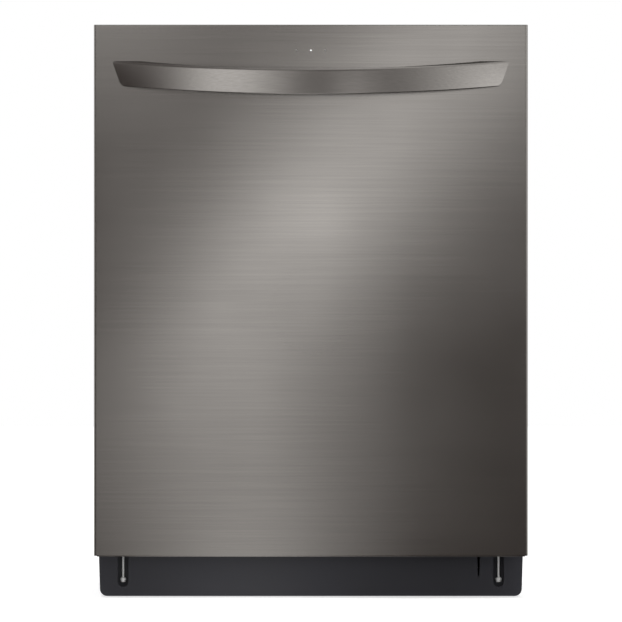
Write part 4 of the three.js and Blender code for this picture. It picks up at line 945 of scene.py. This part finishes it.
tray_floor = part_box("third_rack")[0].z
side_x, front, back = rack_half - 3 * mm, rack_front + 3 * mm, rack_back - 3 * mm
wall = [(side_x, rack_front, tray_floor), (side_x, rack_back, tray_floor),
        (-side_x, rack_back, tray_floor), (-side_x, rack_front, tray_floor)]
wall_section = np.array([(-1.2, 0), (1.4, 0), (2, 1), (1.6, 30), (2.9, 36), (3, 38.6), (2, 40), (-1, 40),
                         (-2.4, 39), (-2.4, 37.6), (-0.8, 37), (-0.9, 3)]) * mm
rib, rib_tall = 1.6 * mm, 2.4 * mm
fin_rows = np.array([-164, -96, -28, 64, 132, 200]) * mm
tray = [
    carried(bend(wall, 24 * mm, count=9, closed=True), wall_section, (0, 0, 1), closed=True),
    grid_of(np.linspace(-238, 235, 34) * mm, [0], (0, front, tray_floor),
            (rib, back, tray_floor + rib_tall)),
    grid_of([0], np.linspace(-200, 262, 30) * mm, (-side_x, 0, tray_floor + 0.4 * mm),
            (side_x, rib, tray_floor + 0.4 * mm + rib_tall)),
    grid_of(np.arange(-228, 229, 19) * mm, fin_rows, (-1 * mm, -10 * mm, tray_floor + 1 * mm),
            (1 * mm, 10 * mm, tray_floor + 20 * mm)),
]
tray = piece("cutlery_tray", tray, nylon_coat, "third_rack")
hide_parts("third_rack")


# ------------------------------
# Cutlery basket: moulded grey lattice in six cells, with a bail handle over the middle. It lifts
# out of the lower rack.
low, high, centre = box_of("cutlery_basket")
foot, top = low.z, 262 * mm
wall = 1.3 * mm  # half the gauge of its bands
x0, y0, x1, y1 = low.x + wall, low.y + wall, high.x - wall, high.y - wall
lattice = []
band = np.array([(-1.3, 0), (1.3, 0), (1.3, 5), (-1.3, 5)]) * mm
for z, tall in ((0, 1.0), (28 * mm, 0.6), (57 * mm, 0.6), (top - foot - 7 * mm, 1.4)):
    loop = rounded_ring(centre.x, centre.y, x1 - centre.x, y1 - centre.y, 8 * mm, count=6)
    loop = np.insert(loop, 2, foot + z, axis=1)
    lattice.append(carried(loop, band * (1, tall), (0, 0, 1), closed=True))
thick, thin = 1.1 * mm, 0.9 * mm
ribs_x = np.linspace(low.x + 10 * mm, high.x - 10 * mm, 17)
ribs_y = np.linspace(low.y + 10 * mm, high.y - 10 * mm, 8)
cells_x = np.linspace(x0, x1, 4)
lattice.append(grid_of(ribs_x, (y0, centre.y, y1), (-thick, -thin, foot), (thick, thin, top - 2 * mm)))
lattice.append(grid_of(cells_x, ribs_y, (-thin, -thick, foot), (thin, thick, top - 2 * mm)))
edge, tie = 2 * mm - wall, 1 * mm
for z, tall in ((0, 3), (42, 3), (83, 4)):
    z, tall = foot + z * mm, tall * mm
    lattice.append(grid_of([0], [centre.y], (x0 + edge, -tie, z), (x1 - edge, tie, z + tall)))
    lattice.append(grid_of(cells_x[1:-1], [0], (-tie, y0 + edge, z), (tie, y1 - edge, z + tall)))
lattice.append(grid_of(ribs_x, [0], (-thin, y0 + edge, foot), (thin, y1 - edge, foot + 2 * mm)))
lattice.append(grid_of([0], ribs_y, (x0 + edge, -thin, foot), (x1 - edge, thin, foot + 2 * mm)))
left, right, arch = low.x + 4 * mm, high.x - 4 * mm, high.z - 3 * mm
bail = bend([(left, centre.y, top - 10 * mm), (left, centre.y, arch), (right, centre.y, arch),
             (right, centre.y, top - 10 * mm)], 16 * mm, count=9)
lattice.append(carried(bail, rounded_ring(0, 0, 2.8 * mm, 4 * mm, 2 * mm, count=4), (0, 1, 0)))
basket = piece("basket_lattice", lattice, grey_plastic, "cutlery_basket")
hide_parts("cutlery_basket")


# ------------------------------
# Door skin: one sheet of stainless steel with a thin warm black film, brushed along its width.
# Its edges are rolled back, and a flange folds in under its foot.
black_steel = brushed("black_stainless_sheet", (0.25, 0.2392, 0.2262), 0.22, (6, 900, 900))
skin_gauge = 1.0 * mm
fold = 3.0 * mm
lip = 0.9 * mm
low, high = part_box("door_outer_panel")
door_half = high.x
door_foot, door_top = low.z, high.z
skin_y, skin_back = low.y, high.y
clear = 0.4 * mm  # between a turn and the close row that keeps the flat beside it flat


def channel(half, front, back, radius):
    """Plan of a folded channel: back edge, quarter turn, straight face, quarter turn, back edge."""
    turn = np.linspace(0, math.pi / 2, 8)
    left = np.stack([radius - half - radius * np.cos(turn), front + radius - radius * np.sin(turn)], 1)
    face = half - radius - clear
    flat = np.column_stack([np.linspace(-face, face, 40), np.full(40, front)])
    side = [[-half, back], [-half, front + radius + clear]]
    right = np.vstack([side, left])[::-1] * (-1, 1)
    return np.vstack([side, left, flat, right])


foot_line, top_line = door_foot + lip, door_top - lip
rise = lip * np.sin(np.linspace(0, math.pi / 2, 6))
heights = np.concatenate([
    foot_line - rise[::-1], np.linspace(foot_line + clear, top_line - clear, 26), top_line + rise
])
past = np.maximum(np.maximum(foot_line - heights, heights - top_line), 0)
insets = lip - np.sqrt(np.maximum(lip**2 - past**2, 0))
rows = np.stack([
    np.insert(channel(door_half - inset, skin_y + inset, skin_back, fold - inset), 2, height, axis=1)
    for height, inset in zip(heights, insets)
])
flange_x, flange_y = np.meshgrid(np.linspace(-1, 1, 12) * (door_half - 4 * mm),
                                 np.linspace(skin_y + lip, skin_y + 26 * mm, 4))
flange = np.stack([flange_x, flange_y, np.full((4, 12), door_foot)], -1)
door_skin = piece("door_skin", [patch(rows), patch(flange)], black_steel, "door", closed=False)
thicken(door_skin, skin_gauge)
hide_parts("door_outer_panel")


# ------------------------------
# Handle: a deep band of the same steel that bows out and down between its ends, which lie flush
# on the skin. Screws from inside the door hold it, so nothing shows in front.
low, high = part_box("door_handle")
handle_half = high.x
handle_top = high.z
handle_reach = skin_y - low.y
handle_height = 33.4 * mm
handle_gauge = 13 * mm
handle_foot_half = 264 * mm
handle_drop = (12.2 * mm, 13.8 * mm)
handle_corner = 6 * mm
handle_lean = 0.12
edge = 0.8 * mm
brow = 3.2 * mm  # height of the soft rounding along the top of its face
brow_turn = math.radians(32)


def bar_section(width, height, radius, steps=5, across=3, down=9):
    """Rounded rectangle from (0, 0) to (width, height), as points in order round it. Its corner
    at (0, 0) is a shallow arc, `brow` high, that turns only by `brow_turn`."""
    turn = np.linspace(0, math.pi / 2, steps + 1)
    small = np.stack([1 - np.cos(turn), 1 - np.sin(turn)], 1) * radius
    shallow = np.linspace(0, brow_turn, steps + 1)
    sweep = brow / math.sin(brow_turn)
    rise = np.stack([sweep * (1 - np.cos(shallow)), brow - sweep * np.sin(shallow)], 1)
    inset = radius * 1.25
    foot = height - inset
    top = np.linspace(rise[-1, 0] + radius, width - inset, across)
    side = np.linspace(inset, foot, down)
    front = np.linspace(foot, brow * 1.1, down)
    return np.vstack([
        rise,
        np.insert(top[:, None], 1, 0, axis=1),
        small[::-1] * (-1, 1) + (width, 0),
        np.insert(side[:, None], 0, width, axis=1),
        small * (-1, -1) + (width, height),
        np.insert(top[::-1, None], 1, height, axis=1),
        small[::-1] * (1, -1) + (0, height),
        np.insert(front[:, None], 0, 0, axis=1),
    ])


seat = skin_y + 0.2 * mm
bow = (handle_half**2 + handle_reach**2) / (2 * handle_reach)
centre = seat - handle_reach + bow
inner = bow - handle_gauge
station = np.linspace(-1, 1, 121)[:, None]
loop = bar_section(handle_gauge, handle_height, edge)
share_in = loop[:, 0] / handle_gauge
share_down = loop[:, 1] / handle_height
rounding = np.clip((loop[:, 1] - handle_height + handle_corner) / handle_corner, 0, 1)
end = handle_half + (handle_foot_half - handle_half) * share_down
end = end - handle_corner * (1 - np.sqrt(1 - rounding**2))
outer_turn = station * np.arcsin(end / bow)
inner_turn = station * math.acos((centre - seat) / inner)
x = (1 - share_in) * bow * np.sin(outer_turn) + share_in * inner * np.sin(inner_turn)
y = centre - (1 - share_in) * bow * np.cos(outer_turn) - share_in * inner * np.cos(inner_turn)
out = (seat - centre + bow * np.cos(outer_turn)) / handle_reach
drop = handle_drop[0] + (handle_drop[1] - handle_drop[0]) * share_down
z = handle_top - loop[:, 1] - drop * out
lean = handle_lean * (handle_height - loop[:, 1]) * (1 - share_in) * (1 - (1 - out) ** 4)
bar = np.stack([x, y + lean, z], -1)
handle_bar = piece("handle_bar", [capped(bar)], black_steel, "door")
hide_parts("door_handle")


# ------------------------------
# Door liner: pressed from one stainless sheet. A sealing face runs all round a raised field with
# stiffening grooves; it is cut out for the dispenser, the latch and the hinge brackets.
low, high, centre = box_of("door_inner_panel")
liner_half, liner_tall = high.x, high.z - centre.z
seal_y, field_y = -242.5 * mm, high.y
field_half, field_middle, field_tall = 268 * mm, 427.5 * mm, 302.5 * mm
field_corner = 30 * mm
field_fold, seal_fold, edge_fold = 5 * mm, 4 * mm, 2 * mm
rings = []
for share in np.linspace(0.02, 0.97, 48):
    ring = rounded_ring(0, field_middle, field_half * share, field_tall * share, field_corner * share,
                        count=64)
    groove = sum(bump_between(ring[:, 1], z - 0.009, z + 0.009, 0.006)
                 for z in (0.20, 0.245, 0.29, 0.335, 0.38, 0.60, 0.645))
    groove = groove * bump_between(ring[:, 0], -0.215, 0.215, 0.012)
    rings.append(set_back(ring, field_y - 2 * mm * groove))
turns = [(1 - math.sin(turn), 1 - math.cos(turn)) for turn in np.linspace(0, math.pi / 2, 6)]
rings += nested(0, field_middle, field_half, field_tall, [
    (field_fold * inset, field_corner - field_fold * inset, field_y - field_fold * drop)
    for inset, drop in turns
], 64)
rings += nested(0, field_middle, field_half, field_tall, [
    (-seal_fold * outset, field_corner + seal_fold * outset, seal_y + seal_fold * rise)
    for rise, outset in turns
], 64)
rings += nested(0, centre.z, liner_half, liner_tall, [
    (edge_fold * inset, 5 * mm - edge_fold * inset, seal_y - edge_fold * drop) for inset, drop in turns
], 64)
rings += nested(0, centre.z, liner_half, liner_tall, [(0, 5 * mm, low.y)], 64)
verts, faces = patch(np.stack(rings), around=True)
faces.append(list(range(len(ring)))[::-1])
liner_steel = brushed("liner_stainless", (0.56, 0.56, 0.55), 0.26, (8, 700, 700))
liner = piece("door_liner", [(verts, faces)], liner_steel, "door", closed=False)
thicken(liner, 0.8 * mm)


def block(x, z, half, tall, corner, front, back):
    """A block with rounded corners as seen from the front, from one depth to another."""
    return capped(np.stack(nested(x, z, half, tall, [(0, corner, front), (0, corner, back)], 6)))


latch_z = 753 * mm
cut_out(liner, [block(0, 488.5 * mm, 82 * mm, 55.5 * mm, 6 * mm, field_y - 0.01, field_y + 0.01)])
cut_out(liner, [block(0, latch_z, 14 * mm, 9 * mm, 3 * mm, seal_y - 0.004, seal_y + 0.004)])
for hand in (-1, 1):
    notch = block(hand * 283.75 * mm, 80 * mm, 9.75 * mm, 32 * mm, 4 * mm, low.y - 0.001, seal_y + 0.004)
    cut_out(liner, [notch])
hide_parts("door_inner_panel")
dress(black_plastic, "door_latch")


# ------------------------------
# Hidden fascia: a black moulding that closes the door's top edge, with a well for each button.
# The buttons are dished caps on springs.
def soft_block(x, y, half, deep, corner, foot, top, edge, count=6, dish=0.0):
    """A block with rounded corners as seen from above and a rolled top edge; its top may be
    dished by a parabola of the distance from its middle."""
    turn = np.linspace(0, math.pi / 2, 5)[1:]
    stages = [(0, foot), (0, top - edge)]
    stages += [(edge * (1 - math.cos(a)), top - edge + edge * math.sin(a)) for a in turn]
    rings = []
    for inset, z in stages:
        outline = rounded_ring(x, y, half - inset, deep - inset, max(corner - inset, 0.2 * mm), count)
        rings.append(np.insert(outline, 2, z, axis=1))
    for share in (0.85, 0.6, 0.3, 0.05):
        outline = rounded_ring(x, y, (half - edge) * share, (deep - edge) * share, corner * share, count)
        rings.append(np.insert(outline, 2, top - dish * (1 - share**2), axis=1))
    return capped(np.stack(rings))


low, high, centre = box_of("control_fascia")
button_y = -267.5 * mm
gloss_black = moulded("gloss_black_moulding", (0.012, 0.012, 0.013), 0.2, texture=600, depth=2e-6)
fascia = soft_block(0, centre.y, high.x, high.y - centre.y, 3 * mm, low.z, high.z, 1.5 * mm, count=40)
fascia = piece("hidden_fascia", [fascia], black_plastic, "door")
button_caps = {name: box_of(f"button_{name}") for name in ("power", "program", "start")}
for low, high, centre in button_caps.values():
    well = soft_block(centre.x, button_y, 11.35 * mm, 5.85 * mm, 2.3 * mm, 0.7925, 0.8, 0.2 * mm)
    cut_out(fascia, [well])
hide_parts("control_fascia")
for name, (low, high, centre) in button_caps.items():
    cap = soft_block(centre.x, button_y, 11 * mm, 5.5 * mm, 2 * mm, low.z, high.z, 0.9 * mm,
                     dish=0.5 * mm)
    cap = piece(f"cap_{name}", [cap], gloss_black, f"button_{name}", smooth=60)
    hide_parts(f"button_{name}")


# ------------------------------
# Indicator lights: three clear tips of one light guide, flush in the skin below the door's top
# edge. The middle one is lit.
clear_lens, tree, shader = finish("clear_lens", (0.22, 0.22, 0.21), 0.12)
shader.inputs["Coat Weight"].default_value = 0.6
spread(tree, grain(tree, 2500), 0.08, 0.18, shader.inputs["Roughness"])
lit_lens, tree, shader = finish("lit_lens", (0.87, 0.87, 0.86), 0.12)
shader.inputs["Emission Color"].default_value = (1, 1, 0.98, 1)
shader.inputs["Emission Strength"].default_value = 0.9
spread(tree, grain(tree, 2500), 0.08, 0.18, shader.inputs["Roughness"])
low, high, centre = box_of("light_guide")
lens_z = centre.z
dome = np.array([(1.15, -2), (1.15, 0), (1.05, 0.14), (0.75, 0.24), (0.35, 0.29), (0.02, 0.3)]) * mm
dome = facing(turned(dome, 24), "-y")
stick = block(0, lens_z, high.x, 3.2 * mm, 1.5 * mm, skin_y + 1.3 * mm, skin_y + 7.3 * mm)
left_tip, lit_tip, right_tip = (moved(dome, (x, skin_y, lens_z)) for x in (-20 * mm, 0, 20 * mm))
guide = piece("light_guide_tips", [stick, left_tip, right_tip], clear_lens, "door")
lamp_lens = piece("lit_tip", [lit_tip], lit_lens, "door")
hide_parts("light_guide")


# ------------------------------
# Dispenser: a grey moulding let into the liner, with a detergent cup under a sliding lid, a rinse
# aid cap with a bar grip, and a small sight glass.
low, high, plate = box_of("dispenser_body")
seat_y, face_y = field_y + 0.3 * mm, field_y + 2.8 * mm
stages = [(3.3, 6, low.y), (3.3, 6, seat_y - 0.1 * mm), (0, 8, seat_y), (0, 8, face_y - 1.2 * mm),
          (0.35, 7.6, face_y - 0.35 * mm), (1.2, 7, face_y), (6, 6, face_y)]
stages = [(inset * mm, corner * mm, y) for inset, corner, y in stages]
plate = nested(0, plate.z, high.x, high.z - plate.z, stages, 20)
dispenser = piece("dispenser_plate", [capped(np.stack(plate))], grey_plastic, "door")
low, high, lid = box_of("dispenser_lid")
lid_x, lid_z = lid.x, lid.z
lid_half, lid_tall = high.x - lid_x, high.z - lid_z
cup = block(lid_x, lid_z, lid_half - 4 * mm, lid_tall - 4 * mm, 8 * mm, face_y - 0.036, face_y + 0.01)
cut_out(dispenser, [cup])
rinse = box_of("rinse_cap")[2]
well = block(rinse.x, rinse.z, 11.3 * mm, 11.3 * mm, 11.2 * mm, face_y - 0.008, face_y + 0.01)
cut_out(dispenser, [well])
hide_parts("dispenser_body")
guide_stages = [(face_y - 1 * mm, 1), (face_y + 3.4 * mm, 1), (face_y + 4 * mm, (1, 0.7))]
guides = lofted(rounded_ring(0, 0, 81 * mm, 1.5 * mm, 1 * mm, count=12), guide_stages, axis=1)
guides = [moved(guides, (lid_x + 39.5 * mm, 0, z)) for z in (low.z - 1.8 * mm, high.z + 1.8 * mm)]
guides = piece("lid_guides", guides, grey_plastic, "door")
lid_y = high.y
stages = [(0, 4, low.y), (0, 4, lid_y - 1.2 * mm), (0.4, 3.8, lid_y - 0.4 * mm), (1.2, 3, lid_y),
          (9, 3, lid_y)]
stages = [(inset * mm, corner * mm, y) for inset, corner, y in stages]
lid = capped(np.stack(nested(lid_x, lid_z, lid_half, lid_tall, stages, 16)))
lid = piece("cup_lid", [lid], dark_nylon, "dispenser_lid")
cut_out(lid, [block(high.x - 12 * mm, lid_z, 4 * mm, 24 * mm, 3.6 * mm, lid_y - 2.5 * mm, lid_y + 0.01)])
cut_out(lid, [block(lid_x - 8 * mm, lid_z, 22 * mm, 30 * mm, 4 * mm, lid_y - 0.5 * mm, lid_y + 0.01)])
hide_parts("dispenser_lid")
knob = np.array([(10.6, -7.7), (11, -7.2), (11, 0.1), (10.6, 0.5), (9.4, 0.5), (8.8, 0.1),
                 (1, 0.1)]) * mm
knob = fluted(turned(knob, 60), 60, 1, 2, lambda angle: -0.01 * (1 + np.cos(20 * angle)))
grip = lofted(rounded_ring(0, 0, 2 * mm, 9.4 * mm, 1.9 * mm, count=6),
              [(-0.5 * mm, 1), (2.4 * mm, 1), (3 * mm, 0.9)])
cap = [moved(facing(surface, "+y"), (rinse.x, face_y, rinse.z)) for surface in (knob, grip)]
cap = piece("rinse_knob", cap, dark_nylon, "rinse_cap")
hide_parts("rinse_cap")
glass = np.array([(5, -0.4), (5, 0.5), (4.4, 0.9), (3.8, 0.7), (3.4, 0.5), (2, 0.9), (0.05, 1)]) * mm
sight = moved(facing(turned(glass, 28), "+y"), (24 * mm, face_y, rinse.z))
sight = piece("sight_glass", [sight], clear_lens, "door")


# ------------------------------
# Stage: a white floor that keeps a soft shadow, a white surround, and a broad shaded card in front
# of the door, which only its steel mirrors.
def sheet_of_stage(name, corners, material):
    """A flat four-cornered stage surface."""
    mesh = bpy.data.meshes.new(name)
    mesh.from_pydata(corners, [], [[0, 1, 2, 3]])
    mesh.materials.append(material)
    made = bpy.data.objects.new(name, mesh)
    bpy.context.scene.collection.objects.link(made)
    return made


def worked_out(tree, operation, a, b):
    """One Math node over two values, each a socket or a number."""
    return add(tree, "Math", {0: a, 1: b}, operation=operation).outputs[0]


def seen_directly(tree):
    """1 for rays from the camera and for their mirror and glass rays, 0 for the rays that light."""
    path = add(tree, "LightPath", {}).outputs
    mirrored = worked_out(tree, "MAXIMUM", path["Is Glossy Ray"], path["Is Transmission Ray"])
    return worked_out(tree, "MAXIMUM", path["Is Camera Ray"], mirrored)


floor_paint, tree, shader = finish("floor_paint", (0.9, 0.9, 0.9), 0.9)
shader.inputs["Emission Color"].default_value = (1, 1, 1, 1)
lift = worked_out(tree, "MULTIPLY", seen_directly(tree), 0.6)
tree.links.new(lift, shader.inputs["Emission Strength"])
span = 14.0
floor = [(-span, -span, 0), (span, -span, 0), (span, span, 0), (-span, span, 0)]
sheet_of_stage("floor", floor, floor_paint)

world = bpy.data.worlds.new("studio")
bpy.context.scene.world = world
world.use_nodes = True
tree = world.node_tree
white = add(tree, "Background", {"Color": (1, 1, 1, 1), "Strength": 1.0})
soft = tree.nodes["Background"]
soft.inputs["Color"].default_value = (1, 1, 1, 1)
soft.inputs["Strength"].default_value = 0.55
mixed = add(tree, "MixShader", {1: soft.outputs[0], 2: white.outputs[0]})
tree.links.new(seen_directly(tree), mixed.inputs["Fac"])
tree.links.new(mixed.outputs[0], tree.nodes["World Output"].inputs["Surface"])


def lamp(name, place, aim, size, power):
    """A soft box at `place` that faces `aim`, unseen by the camera and by mirrors; power in watts."""
    light = bpy.data.lights.new(name, "AREA")
    light.shape = "RECTANGLE"
    light.size, light.size_y = size
    light.energy = power
    made = bpy.data.objects.new(name, light)
    made.location = place
    ahead = np.array(aim) - np.array(place)
    made.rotation_mode = "QUATERNION"
    made.rotation_quaternion = Vector(ahead).to_track_quat("-Z", "Y")
    bpy.context.scene.collection.objects.link(made)
    made.visible_glossy = False
    made.visible_camera = False


lamp("top_box", place=(0.1, -1.2, 2.6), aim=(0, 0, 0.4), size=(2.0, 2.0), power=26)
lamp("low_box", place=(0.5, -2.6, 0.3), aim=(0, 0, 0.05), size=(2.4, 0.5), power=7)

# The card: brightness by place, in world metres.
card_y = -1.9
card_paint = bpy.data.materials.new("card_paint")
card_paint.use_nodes = True
tree = card_paint.node_tree
tree.nodes.remove(tree.nodes["Principled BSDF"])
glow = add(tree, "Emission", {})
coord = add(tree, "TexCoord", {})


def soft_box(brightness, x, z, wide, tall, lean=0):
    """A glow on the card: brightness times e to the minus square of the distance from (x, z),
    measured in its own width and height along axes turned by `lean`."""
    place = {"Location": (x, 0, z), "Rotation": (0, -lean, 0), "Scale": (wide, 1000, tall)}
    place = add(tree, "Mapping", {"Vector": coord.outputs["Object"], **place}, vector_type="TEXTURE")
    away = place.outputs["Vector"]
    square = add(tree, "VectorMath", {0: away, 1: away}, operation="DOT_PRODUCT").outputs["Value"]
    fall = worked_out(tree, "POWER", math.e, worked_out(tree, "MULTIPLY", square, -1.0))
    return worked_out(tree, "MULTIPLY", fall, brightness)


strip_top, strip_foot = np.array([0.20, 0.82]), np.array([-0.16, 0.34])
strip_run = strip_top - strip_foot
strip_tall = 0.65 * np.linalg.norm(strip_run)
strip_x, strip_z = (strip_top + strip_foot) / 2
level = soft_box(3.2, strip_x, strip_z, 0.09, strip_tall, -math.atan2(*strip_run))
for box in (
    (1.3, -0.1, 0.1, 0.14, 0.25),  # below the strip's foot
    (1.3, 0.28, 0.95, 0.12, 0.2),  # above its head
    (0.5, -door_half, 0.9, 0.15, 0.2),  # over the door's top left corner
    (2.0, -0.6, 1.2, 0.4, 0.3),  # a window on the left, for the bowed handle
    (2.0, 1.7, 1.1, 0.8, 0.8),  # a window on the right, for its other end
    (1.2, 0.5, 2.7, 1.3, 0.8),  # a high window, for its top edge
):
    level = worked_out(tree, "ADD", soft_box(*box), level)
tree.links.new(level, glow.inputs["Strength"])
shade = add(tree, "Emission", {"Color": (0.085, 0.0675, 0.0605, 1)})
dim_corner = soft_box(0.4, door_half, 0.15, 0.2, 0.2)  # low on the right
tree.links.new(worked_out(tree, "SUBTRACT", 1.0, dim_corner), shade.inputs["Strength"])
both = add(tree, "AddShader", {0: glow.outputs[0], 1: shade.outputs[0]})
tree.links.new(both.outputs[0], tree.nodes["Material Output"].inputs["Surface"])
wide, tall, off_floor = 2.2, 3.6, 0.001
apron_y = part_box("base_tray")[0].y - 0.004
wall = [(-wide, card_y, off_floor), (-wide, card_y, tall), (wide, card_y, tall),
        (wide, card_y, off_floor)]
apron = [(-wide, card_y, off_floor), (wide, card_y, off_floor), (wide, apron_y, off_floor),
         (-wide, apron_y, off_floor)]
for name, corners in (("mirror_card", wall), ("mirror_apron", apron)):
    card = sheet_of_stage(name, corners, card_paint)
    card.visible_camera = False
    card.visible_diffuse = False
    card.visible_shadow = False
    card.visible_transmission = False


# ------------------------------
# Camera: straight in front, far off and with a long lens, level with the middle of the machine.
# It faces the door squarely, so that upright edges stay upright.
lens = bpy.data.cameras.new("camera")
lens.sensor_width = 36
lens.lens = 400
camera_x, camera_away, camera_z = 0.0002, 9.6, 0.4002
camera = bpy.data.objects.new("camera", lens)
camera.location = (camera_x, skin_y - camera_away, camera_z)
camera.rotation_euler = (math.pi / 2, 0, 0)
bpy.context.scene.collection.objects.link(camera)
bpy.context.scene.camera = camera
bpy.context.scene.view_settings.view_transform = "Standard"
